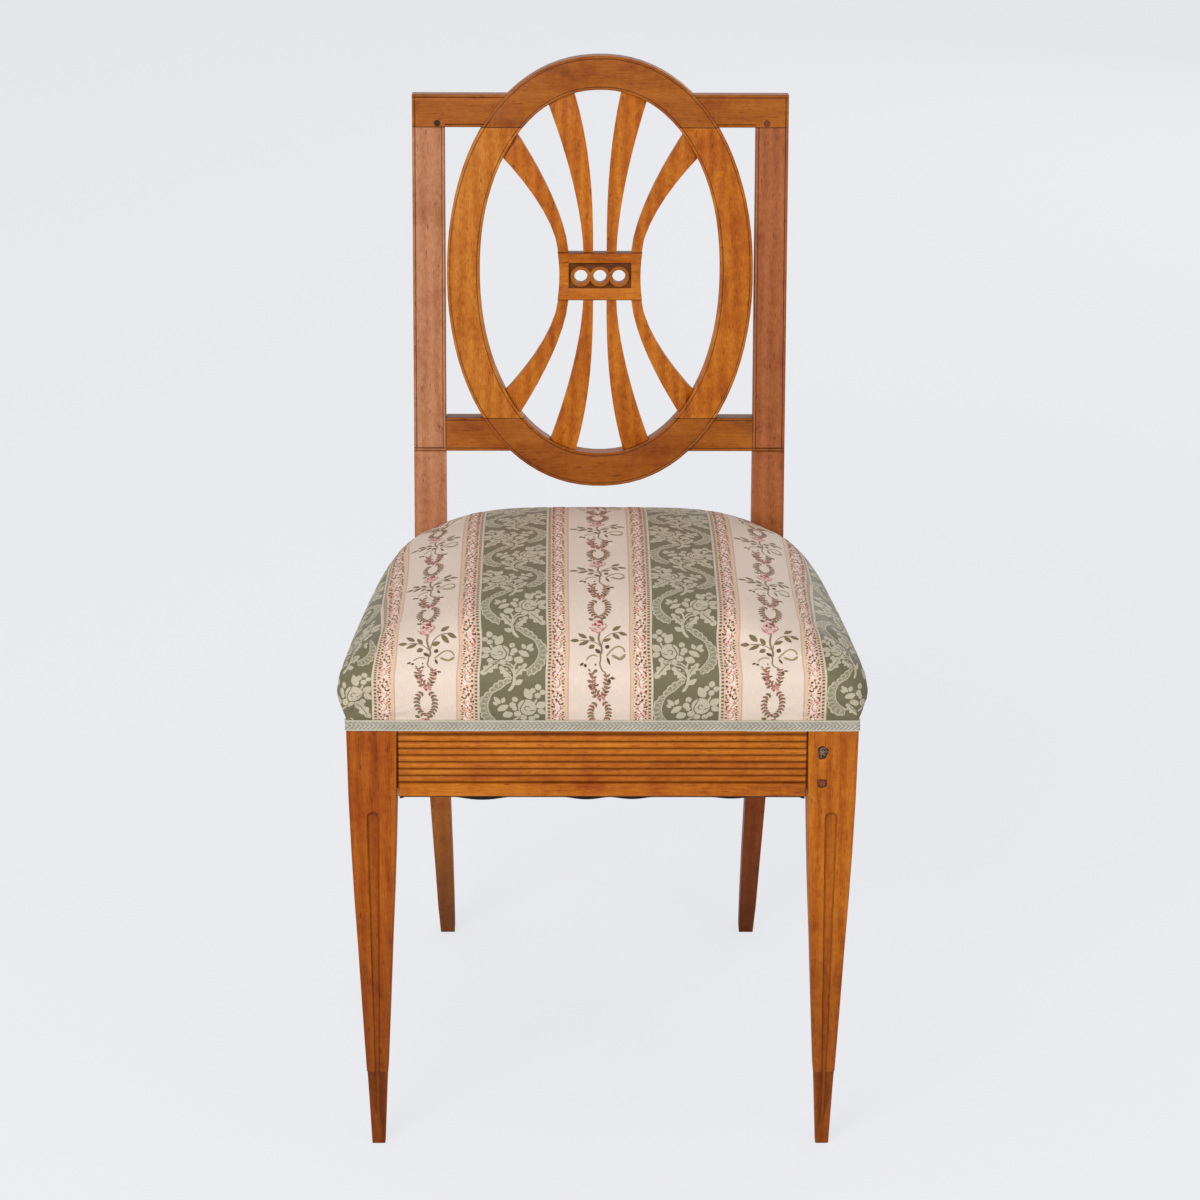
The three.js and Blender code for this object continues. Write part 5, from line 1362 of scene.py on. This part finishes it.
wreathLines = [
    [(-2, -81.5), (-6.5, -87), (-7.6, -94), (-6, -101), (-1.8, -107)],
    [(3, -80.5), (7, -86), (8, -94), (6.4, -101), (1.6, -107)],
]
creamFigure = {
    "first": 101.0, "repeat": 112.0,
    "leaves": [
        (-18.3, -22.1, -26.3, -22.3, 2.7), (-11.5, -19.6, -19.2, -14.2, 2.9), (-4.5, -22.9, -9.4, -17.5, 2.7),
        (-9.7, -23.2, -18.9, -27.5, 2.7), (-4.5, -27.5, -9.7, -30.7, 3.2), (11.8, -11.1, 19.2, -5.8, 2.9),
        (17.3, -13.3, 25, -16.3, 2.7), (12.1, -15, 18.3, -20.9, 3.1), (3.5, -23.2, 10.6, -20.4, 2.5),
        (-5.1, 1.9, -9.7, 3.8, 2.5),
        (2.6, 3.2, 6.4, 5.9, 1.9), (-9.7, -50.6, -8, -53.6, 1.1), (-5, -53.9, -1.9, -51.5, 2.2),
        (-10.8, -60.5, -7.8, -63.4, 1.1), (2.8, -62.1, 5.4, -64.6, 1.1), (2.4, -67.2, 4.3, -70.5, 1.1),
        (-7.5, -72.4, -4, -73.5, 1), (-2, -72.3, 0.4, -69.4, 1.3), (-6.4, -76, -2.7, -76.6, 1),
    ],
    "darkLeaves": [
        (0.7, -35.5, -3.9, -31.5, 2.6), (6, -31.1, 8.1, -27.1, 2.9), (6.8, -39.9, 9.2, -47.3, 1.6),
        (-14.1, -45.2, -17.4, -48, 1.7), (-12.9, -46.2, -12.1, -49.5, 2), (9.4, -58.5, 13.6, -59.5, 1.8),
        (7.8, -60.2, 9.3, -63.1, 2.2), (-10.1, -65.5, -6, -67.8, 1.3), (-3.5, -65.8, -0.5, -64.2, 1.2),
        (4.6, -72.6, 7.6, -70.8, 1.3),
        (-4.4, -46.9, -2.7, -46.7, 1.5),
    ],
    "petals": [
        (-16.7, -47.8, -19.2, -50.6, 0.8), (-15.6, -50.3, -18.3, -53.6, 0.8), (-13.9, -50.1, -15.3, -53.2, 0.8),
        (9.8, -64.1, 15.4, -67, 0.6), (10.7, -65.4, 13.2, -70.9, 0.6),
    ],
    "pinks": [
        (-3.4, -12.6, -9.3, -6.9, 0.9), (1.7, -12.6, 7.3, -5.2, 1), (-2.4, -11.6, -5.2, -7.2, 0.9),
        (1.4, -11.4, 4.3, -7, 0.9), (-3.2, -13.6, 1.7, -13.5, 1.3), (-7.5, -10.7, -3.2, -12.9, 1.1),
        (-2.6, -7.6, 1.7, -8, 0.9),
        (-7.5, -69.6, -3, -69.4, 1), (2.4, -77.3, 5.7, -76.1, 1.5), (2.4, -78.1, 5.4, -79.3, 1.5),
        (-6.1, -64.1, -3, -61.7, 1), (-1.6, -78.9, 2.4, -77.3, 1.1), (-6.6, -6.2, -5.6, -2.6, 0.8),
        (6.2, -6, 5.1, -2.4, 0.8),
        (-4.6, 0.2, -1.2, 1.4, 0.7), (1, 1.5, 4.2, 0, 0.7),
    ],
    "roseFills": [
        (-0.8, -13.8, -7.6, -7.4, 3.2), (-0.6, -13.6, 6, -6.4, 3.2), (-1, -13.6, -0.8, -5.4, 4.8),
        (-5.8, -3.6, 5.4, -3, 6.4),
    ],
    "sprigs": [
        [(-5.3, -67.7), (-6.2, -62), (-5.6, -57.4), (-7.2, -53.5)], [(2.4, -76), (5.9, -69.3), (6.8, -63), (6.4, -58)],
        [(-0.5, -76), (-3.6, -72), (-5.6, -68)],
    ],
    "crimson": [
        (-1.7, -1, 2.4, 0.2, 3.1), (-5.1, -4.9, -2, -3.6, 1.7), (-2, -5.8, 1.7, -4.5, 1.5), (2.2, -3.4, 4.2, -4.6, 1.2),
        (-0.7, -75.5, 2.1, -74.9, 1.9), (-0.5, -79.7, 1.7, -79.1, 1.7), (-5.7, -68.6, -3.4, -66.8, 1.1),
        (-3.9, -69.7, -3, -68.3, 0.9), (-2, -77.1, -0.2, -77.5, 0.8),
    ],
    "darkCrimson": [
        (1.1, -2.3, 3.2, -1, 2.1), (-4.5, -2.7, -2.9, -2.7, 1.5),
    ],
    "stems": [
        (1.24, [(0.3, -13.3), (-0.7, -20.9), (0.7, -26), (2, -31.1), (1.4, -37.2)]),
        (0.91, [
            (0.4, -35.2), (0.9, -38.9), (1, -41.7), (0.3, -45.4), (1, -49.1), (2.6, -52.2), (5.2, -54.5), (6.2, -56.8),
        ]),
        (0.45, [(6.2, -56.8), (6.3, -60.5), (6.8, -64.1), (5.7, -69.3), (3.9, -73.3), (1.7, -77.3)]),
        (0.56, [(1.7, -29.1), (-2, -25.7), (-5.1, -23.9), (-10.6, -22.3), (-18, -22.2)]),
        (0.56, [(2, -28.3), (3, -23.2), (6.6, -17.9), (11.5, -14.6), (18.3, -13.3)]),
        (0.42, [(-7.2, -54.3), (-5.5, -57.4), (-6.6, -61.3), (-5.9, -65.3), (-5.3, -67.7)]),
        *[(0.38, stops) for stops in wreathLines],
        (0.42, [(-5, -70.9), (-2, -74.9), (0.6, -77.3)]),
    ],
    "bow": [
        (0.81, [(6, -38.9), (9, -34.8), (12.7, -30.7), (17, -28.7), (20.8, -30.3), (22.9, -35)]),
        (0.75, [(-1.7, -38.9), (-5.4, -37.5), (-9.1, -39.1), (-12.1, -43)]),
    ],
    "bowLoop": [
        (1.61, [(10.9, -37.5), (14.6, -39.8), (18.3, -41.4), (21.4, -39.2), (23, -36.5)]),
    ],
}
greenFigure = {
    "first": 67.3, "repeat": 112.0, "mirrored": -56.0,
    "leaves": [
        (-21, 1.3, -29.2, 6.7, 5.2), (-22.1, -1.1, -28.9, -5.3, 4.1), (-16.1, 9.4, -10.9, 19.5, 5.6),
        (9.2, 3.7, 6.9, 9.4, 2.9), (10.7, 2.8, 16.3, 9.2, 3.3), (13, 1.3, 17.4, 4, 2.4), (2.8, -11.8, 6, -4.5, 6.8),
        (2.2, -33.4, 9, -28.9, 3.5), (6.8, -3.7, 10.2, 1.3, 8.2),
    ],
    "lobed": [
        (-1, -29, -12, -16, 8.4), (1.8, -26.4, 11.4, -12.2, 8.2), (-12.6, -9, -27.4, -26.2, 11.5),
    ],
    "spots": [
        (-22.3, 21.3, 2.9), (-26.1, 16.6, 2.6), (-17.8, 17.8, 2.5), (-21.9, 13.1, 2.8), (-2.1, 8, 2.7),
        (-0.1, 2.2, 3.1), (-1.8, -1.1, 2.3), (-4.3, -6.9, 3.3), (-9.5, -10.7, 3.3), (-16.6, -11.5, 3),
        (-20.9, -8.6, 2.7),
    ],
    "rose": [
        (-12.6, 0.4, 8.3),
    ],
    "stems": [
        (1.9, [(-21.4, 9.9), (-20.2, 7.3), (-19, 4.6)]),
        (1.77, [(2.7, -11.5), (0.7, -16.7), (0.9, -20.5), (1.4, -26.2)]),
        (1.36, [(-10.3, -14.6), (-5.1, -15), (-1.1, -18.8), (0.7, -24)]),
        (1.5, [(-7, -10.8), (-2.4, -13.2), (0.3, -17)]),
        (2.72, [(1.4, -25.4), (1.6, -30.4), (-0.3, -36.1), (-3.6, -40.1)]),
    ],
    "veins": [
        (0.68, [(-14.8, -0.2), (-14.3, 1.5), (-12.6, 2.2), (-11, 1.3), (-10.3, -0.6), (-11.3, -2.2), (-13.3, -2.3)]),
        (0.68, [(-20.2, -1.1), (-17.9, -2.3), (-14.6, -2.6)]),
        (0.75, [(-10.3, 5.8), (-8.4, 3), (-6.7, -1.5), (-8.4, -5.8), (-12.3, -8.1), (-16.9, -7.7), (-20.2, -5.5)]),
        (0.68, [(-11.3, 9.9), (-10.3, 6.5), (-9.7, 4.7)]), (0.61, [(-4.7, 2.2), (-4.4, -0.7), (-5.7, -2.9)]),
        (0.61, [(-14, -8), (-13.1, -10.8)]), (0.61, [(-7.4, -9.4), (-6.4, -11.5)]),
        (0.68, [(0.9, -25.8), (-1.8, -24), (-5.7, -20.5), (-8.4, -18.8)]),
        (0.61, [(2.8, -24), (5.8, -19.1), (8.8, -15.7)]), (0.61, [(-15, -12), (-19.5, -17), (-25, -23.6)]),
        (0.61, [(9.7, 1.5), (9.4, 3)]), (0.61, [(-1.1, 6.5), (-2.6, 3.9)]), (0.61, [(-4.1, -25.8), (-1.1, -28.3)]),
    ],
    "ribbon": [
        (1.6, 26.3, 2.3), (6.8, 23.8, 4.2), (12, 19.9, 5.7), (16, 16.5, 4.2), (19, 13.2, 3), (22.3, 8.2, 5.3),
        (24.9, 1.5, 6.8), (24.4, -5.1, 6.5), (22.6, -11.5, 7.6), (18.6, -17.4, 7.6), (12.7, -21.9, 5.2),
        (7.1, -25.3, 2.7),
    ],
}
borderFigure = {
    "first": 36.4, "repeat": 37.33, "middle": 36.0,
    "leaves": [
        (-2.5, 16.8, -4.9, 19.4, 1.2), (-2.4, 16.8, 0, 19.2, 1.1), (4.4, 14, 6.2, 16, 1.3), (4.2, 14, 2.6, 15.6, 1.1),
        (4.7, 8.4, 3.7, 11.3, 1.2), (3.9, -3.5, 5.3, -1.3, 1.4), (3.3, -8.1, 5.8, -6, 1.5),
        (-0.4, -9.7, 0.9, -8.4, 1.4),
        (-1.1, -11.7, -3.3, -10, 1.8), (2.5, -12.2, 4.4, -11.9, 1.6), (2.3, -16.1, 0.6, -14.7, 2.2),
        (-3.3, 1.2, -5.4, -0.4, 1.2),
        (-5.2, 8.6, -3.6, 10.1, 1.2), (-4.9, 6.2, -3.2, 6.9, 1.2), (5.3, 1.2, 3.9, 2.4, 1.2),
        (5.6, -16.4, 4.2, -14.9, 1.2),
        (-5.3, -6.2, -3.8, -5, 1.2), (-5, -3, -3.4, -2.4, 1), (-1.2, -17.6, 0.2, -16.9, 1.1),
        (5.2, 18.4, 4.2, 19.9, 1.2),
    ],
    "tans": [
        (3.2, 16.1, 4.1, 18.5, 1.7), (-2.8, 2.1, -5.2, 3.6, 1.3), (3.6, 4, 1, 2.6, 0.9), (-2.3, 11.6, -2.2, 16.6, 0.7),
        (-4.2, 12.6, -2.5, 14.2, 0.9), (2.4, -11.9, -1.1, -11.4, 0.6), (-4.4, -16, -2.6, -14.3, 0.9),
        (0.3, 19.8, 2.2, 20.6, 0.9),
        (-3.8, -13.4, -2.2, -13, 1.1), (5.7, 11.8, 4.5, 12.8, 1.1), (-5.6, 15.2, -4.2, 15.9, 1),
        (5.4, -9.4, 3.9, -8.9, 1.1),
        (-5.8, -9, -4.4, -8.2, 1), (3.6, 0, 2, 0.6, 0.9), (-6, 4, -4.6, 4.6, 1), (-5.9, -12.6, -4.6, -11.8, 0.9),
    ],
    "blooms": [
        (-0.8, 17.2, 2.8), (0.2, 9.9, 2.6), (0.9, 2.9, 2.4), (-0.4, -4.6, 2.6), (0.2, -12.4, 2.8),
    ],
    "roses": [
        (4.9, 5, 2.2, 4.2, 1.3), (4.8, 9.4, 2.6, 10.6, 1.1), (-3.4, 5.6, -0.8, 4.2, 1.2), (-3, 8.6, -1.4, 7, 1.1),
        (1.6, -7.9, -1, -7.2, 1.1), (3, -4.4, 1.6, -2.6, 1), (-2.6, -13.8, -1, -15.2, 1),
    ],
    "crimson": [
        (5.3, 6.9, 3.7, 7.7, 1.9), (2.9, 5.6, 1.1, 6.1, 1.2), (0.6, 6.9, 0.3, 9.3, 1), (3.4, 10.6, 1.8, 11.4, 1),
    ],
    "pinks": [
        (2.1, 12.9, -1, 15.6, 3), (1.9, 15.4, -0.9, 13.1, 2.6), (3.3, 8.9, 0.9, 8.1, 2.2), (1.4, -2.2, -0.9, -0.2, 1.8),
        (1.6, -6.3, -0.6, -5.3, 1.4),
    ],
    "stem": [
        (0.5, [(1, 5), (-1.2, 2.8), (-1.6, 0), (-0.2, -3.2), (2.4, -4.3)]),
        (0.5, [(-2.2, 12.6), (-0.6, 10.4), (0.9, 9.6)]),
        (0.5, [(1.4, -15), (0.8, -12), (0.4, -9.6)]),
    ],
}


def sprig(stops):
    # leaf pairs along a smooth line, each turned from the line's own direction by the spread, in degrees
    stops = np.asarray(stops, float)
    run = runAlong(stops)
    at = np.arange(spray["spacing"] * 0.4, run[-1], spray["spacing"])
    line, further = (smoothLine(stops, run, place) for place in (at, at + 0.3))
    heading = np.arctan2(further[:, 1] - line[:, 1], further[:, 0] - line[:, 0])
    spread = math.radians(spray["spread"])
    angles = np.concatenate([heading + spread, heading - spread])
    bases = np.vstack([line, line])
    tips = bases + spray["length"] * np.stack([np.cos(angles), np.sin(angles)], -1)
    return [leafShape((*base, *tip, spray["width"])) for base, tip in zip(bases, tips)]


def everyRepeat(figure, columns, shapes, extra=0.0):
    # the shapes at every repeat along each column; a column is (U of its origin, mirror)
    copies = []
    for middle, mirror in columns:
        for step in range(-6, 17):
            v = figure["first"] + extra + figure["repeat"] * step
            if -70 < v < 620:
                copies += [moved(shape, middle, v, mirror) for shape in shapes]
    return copies


def leavesOf(figure, *groups):
    return [leafShape(leaf) for group in groups for leaf in figure[group]]


def stemsOf(figure, *groups, fuller=1.4):
    return [lineShape(width * fuller, stops) for group in groups for width, stops in figure[group]]


creamColumns = [(stripes["centre"] + stripes["repeat"] * step, 1) for step in range(-2, 3)]
greenColumns = [(stripes["centre"] + stripes["repeat"] * (step + 0.5), 1) for step in range(-2, 2)]
borderColumns = [(u + side * borderFigure["middle"], side) for u, mirror in creamColumns for side in (-1, 1)]

figureColours = {
    "olive": "#7A6A49", "dark": "#5A4634", "petal": "#EBDCC4", "pink": "#BE8A7E", "roseFill": "#E2BFB0",
    "crimson": "#A05450", "wine": "#6F3433", "russet": "#93644C", "stem": "#8C7660", "bow": "#958A60",
    "pale": "#BEB29A", "vein": "#6F674F", "net": "#918970", "borderLeaf": "#6B4C34", "borderTan": "#A08260",
    "borderCrimson": "#9E5F50", "borderPink": "#E9C6BB", "borderBloom": "#EFD9CA", "borderRose": "#C98A7C",
}
figureCloth = {name: makeStripedDamask("woven figure, " + name, ground) for name, ground in figureColours.items()}


def weaveCream():
    figure = creamFigure
    wreaths = [sprig(stops) for stops in wreathLines]
    sprays = [leaf for stops in figure["sprigs"] for leaf in sprig(stops)]
    for name, shapes, height in (
        ("roseFill", leavesOf(figure, "roseFills"), 0.14),
        ("stem", stemsOf(figure, "stems"), 0.16),
        ("olive", leavesOf(figure, "leaves") + [leaf for leaves in wreaths for leaf in leaves[::2]], 0.2),
        ("russet", [leaf for leaves in wreaths for leaf in leaves[1::2]] + sprays, 0.19),
        ("dark", leavesOf(figure, "darkLeaves"), 0.21),
        ("petal", leavesOf(figure, "petals"), 0.2),
        ("pink", leavesOf(figure, "pinks"), 0.22),
        ("crimson", leavesOf(figure, "crimson"), 0.26),
        ("wine", leavesOf(figure, "darkCrimson"), 0.3),
        ("bow", stemsOf(figure, "bow", "bowLoop", fuller=1.7), 0.2),
    ):
        weave("creamStripe_" + name, figureCloth[name], everyRepeat(figure, creamColumns, shapes), height)


def ribbonParts(figure):
    # the lace ribbon as its two light edges, the outer one scalloped, and the slanted threads between them
    ribbon = np.array(figure["ribbon"])
    run = runAlong(ribbon[:, :2])
    at = np.linspace(0, run[-1], 60)
    line = smoothLine(ribbon, run, at)
    half = throughPoints(at, run, ribbon[:, 2]) / 2
    side = sidewaysOf(line)
    scallop = 1.5 * np.abs(np.sin(np.pi * at / 5.6)) - 0.6
    outer, inner = line + side * (half + scallop)[:, None], line - side * half[:, None]
    threads = []
    for slant in (3, -3):
        for step in range(4, 56, 4):
            start, stop = inner[step], outer[step + slant]
            if np.linalg.norm(start - stop) > 2.4:
                threads.append(leafShape((*start, *stop, 0.5)))

    def inPieces(left, right):
        return [(left[first:first + 7], right[first:first + 7]) for first in range(0, 54, 6)]

    edges = inPieces(outer + side * 0.7, outer - side * 0.6) + inPieces(inner + side * 0.5, inner - side * 0.5)
    return edges, threads, inPieces(outer, inner)


def weaveGreen():
    figure = greenFigure
    edges, threads, net = ribbonParts(figure)
    lobed = [lobedShape(leaf) for leaf in figure["lobed"]]
    spots = [discShape(spot) for spot in figure["spots"] + figure["rose"]]
    pale = stemsOf(figure, "stems", fuller=1.0) + leavesOf(figure, "leaves") + lobed + spots + edges + threads
    veins = stemsOf(figure, "veins", fuller=1.2)
    turned = [(u, -1) for u, mirror in greenColumns]
    for name, shapes, height in (("net", net, 0.1), ("pale", pale, 0.18), ("vein", veins, 0.26)):
        copies = everyRepeat(figure, greenColumns, shapes) + everyRepeat(figure, turned, shapes, figure["mirrored"])
        weave("greenStripe_" + name, figureCloth[name], copies, height)


def weaveBorders():
    figure = borderFigure
    for name, shapes, height in (
        ("borderBloom", [discShape(spot) for spot in figure["blooms"]], 0.1),
        ("stem", stemsOf(figure, "stem"), 0.16),
        ("borderRose", leavesOf(figure, "roses"), 0.19),
        ("borderTan", leavesOf(figure, "tans"), 0.18),
        ("borderLeaf", leavesOf(figure, "leaves"), 0.2),
        ("borderPink", leavesOf(figure, "pinks"), 0.15),
        ("borderCrimson", leavesOf(figure, "crimson"), 0.25),
    ):
        weave("border_" + name, figureCloth[name], everyRepeat(figure, borderColumns, shapes), height)


weaveCream()
weaveGreen()
weaveBorders()


def makePlainCloth(name, light, dark, thread, roughness, sheen):
    # A plain weave drawn as two sets of threads at right angles; their spacing is in millimetres on the cloth's lie.
    material, tree, shader = newMaterial(name, **{
        "Sheen Weight": sheen, "Specular IOR Level": 0.25, "Roughness": roughness,
    })
    place = addNode(tree, "ShaderNodeUVMap", uv_map="cloth").outputs[0]
    threads = {"Vector": place, "Scale": waveSpacing / (thread * mm), "Distortion": 0.8, "Detail": 1.0}
    warp, weft = (
        addNode(tree, "ShaderNodeTexWave", threads, wave_type="BANDS", bands_direction=axis).outputs[1] for axis in "XY"
    )
    spots = addNode(tree, "ShaderNodeTexNoise", {"Vector": place, "Scale": 160.0, "Detail": 4.0}).outputs[0]
    crossing = maths(tree, "MULTIPLY", warp, weft)
    tone = maths(tree, "MULTIPLY_ADD", crossing, 0.55, maths(tree, "MULTIPLY", spots, 0.6))
    finishSurface(tree, shader, colourSteps(tree, tone, [(0.2, dark), (0.75, light)]), crossing, 0.5, 0.0004)
    return material


def makeGimp():
    # Cotton and rayon gimp: twisted strands with painted shade in the gaps between them, a soft lustre; colour follows
    # the strands' own slant.
    material, tree, shader = newMaterial("cotton gimp braid", **{
        "Sheen Weight": 0.2, "Specular IOR Level": 0.35, "Roughness": 0.62,
    })
    place = addNode(tree, "ShaderNodeTexCoord").outputs["Object"]
    spots, patches = (
        addNode(tree, "ShaderNodeTexNoise", {"Vector": place, **inputs}).outputs[0]
        for inputs in ({"Scale": 700.0, "Detail": 3.0, "Roughness": 0.7}, {"Scale": 45.0, "Detail": 2.0})
    )
    tone = maths(tree, "MULTIPLY_ADD", patches, 0.3, maths(tree, "MULTIPLY", spots, 0.8))
    colour = colourSteps(tree, tone, [(0.32, "#8B8373"), (0.52, "#ADA796"), (0.7, "#C6C0AE")])
    # edging lightens the edge cords; gap is painted shade between the strands
    for kind, strength, shade in (("edging", 0.6, "#C3BCA8"), ("gap", 0.72, "#615C52")):
        share = addNode(tree, "ShaderNodeAttribute", attribute_name=kind).outputs["Fac"]
        share = maths(tree, "MULTIPLY", share, strength, clamp=True)
        colour = blended(tree, "MIX", share, colour, linear(shade))
    finishSurface(tree, shader, colour, spots, 0.4, 0.0003)
    return material


def makeWadding():
    # Cotton wadding over curled hair: matt, off-white, matted fibres.
    material, tree, shader = newMaterial("cotton wadding", **{
        "Sheen Weight": 0.5, "Specular IOR Level": 0.1, "Roughness": 0.95,
    })
    fibres = {"Scale": 220.0, "Detail": 6.0, "Distortion": 2.0}
    fibres["Vector"] = addNode(tree, "ShaderNodeTexCoord").outputs["Object"]
    fibres = addNode(tree, "ShaderNodeTexNoise", fibres).outputs[0]
    finishSurface(tree, shader, colourSteps(tree, fibres, [(0.35, "#CFC4AC"), (0.65, "#EDE6D6")]), fibres, 0.6, 0.001)
    return material


wadding = makeWadding()
jute = makePlainCloth("hessian, plain woven jute", "#A98A5C", "#6B5130", 1.6, 0.9, 0.1)
webbingCloth = makePlainCloth("jute webbing, close woven", "#BBA373", "#7D6640", 1.2, 0.85, 0.1)
dustCloth = makePlainCloth("black cotton lining", "#1E1C1B", "#0C0B0B", 0.9, 0.9, 0.2)
gimp = makeGimp()
makeStuffing()
makeWebbing()
makeHessian()
makeDustCover()
makeBraid()
print("stuffing, hessian, webbing, dust cover and braid done")
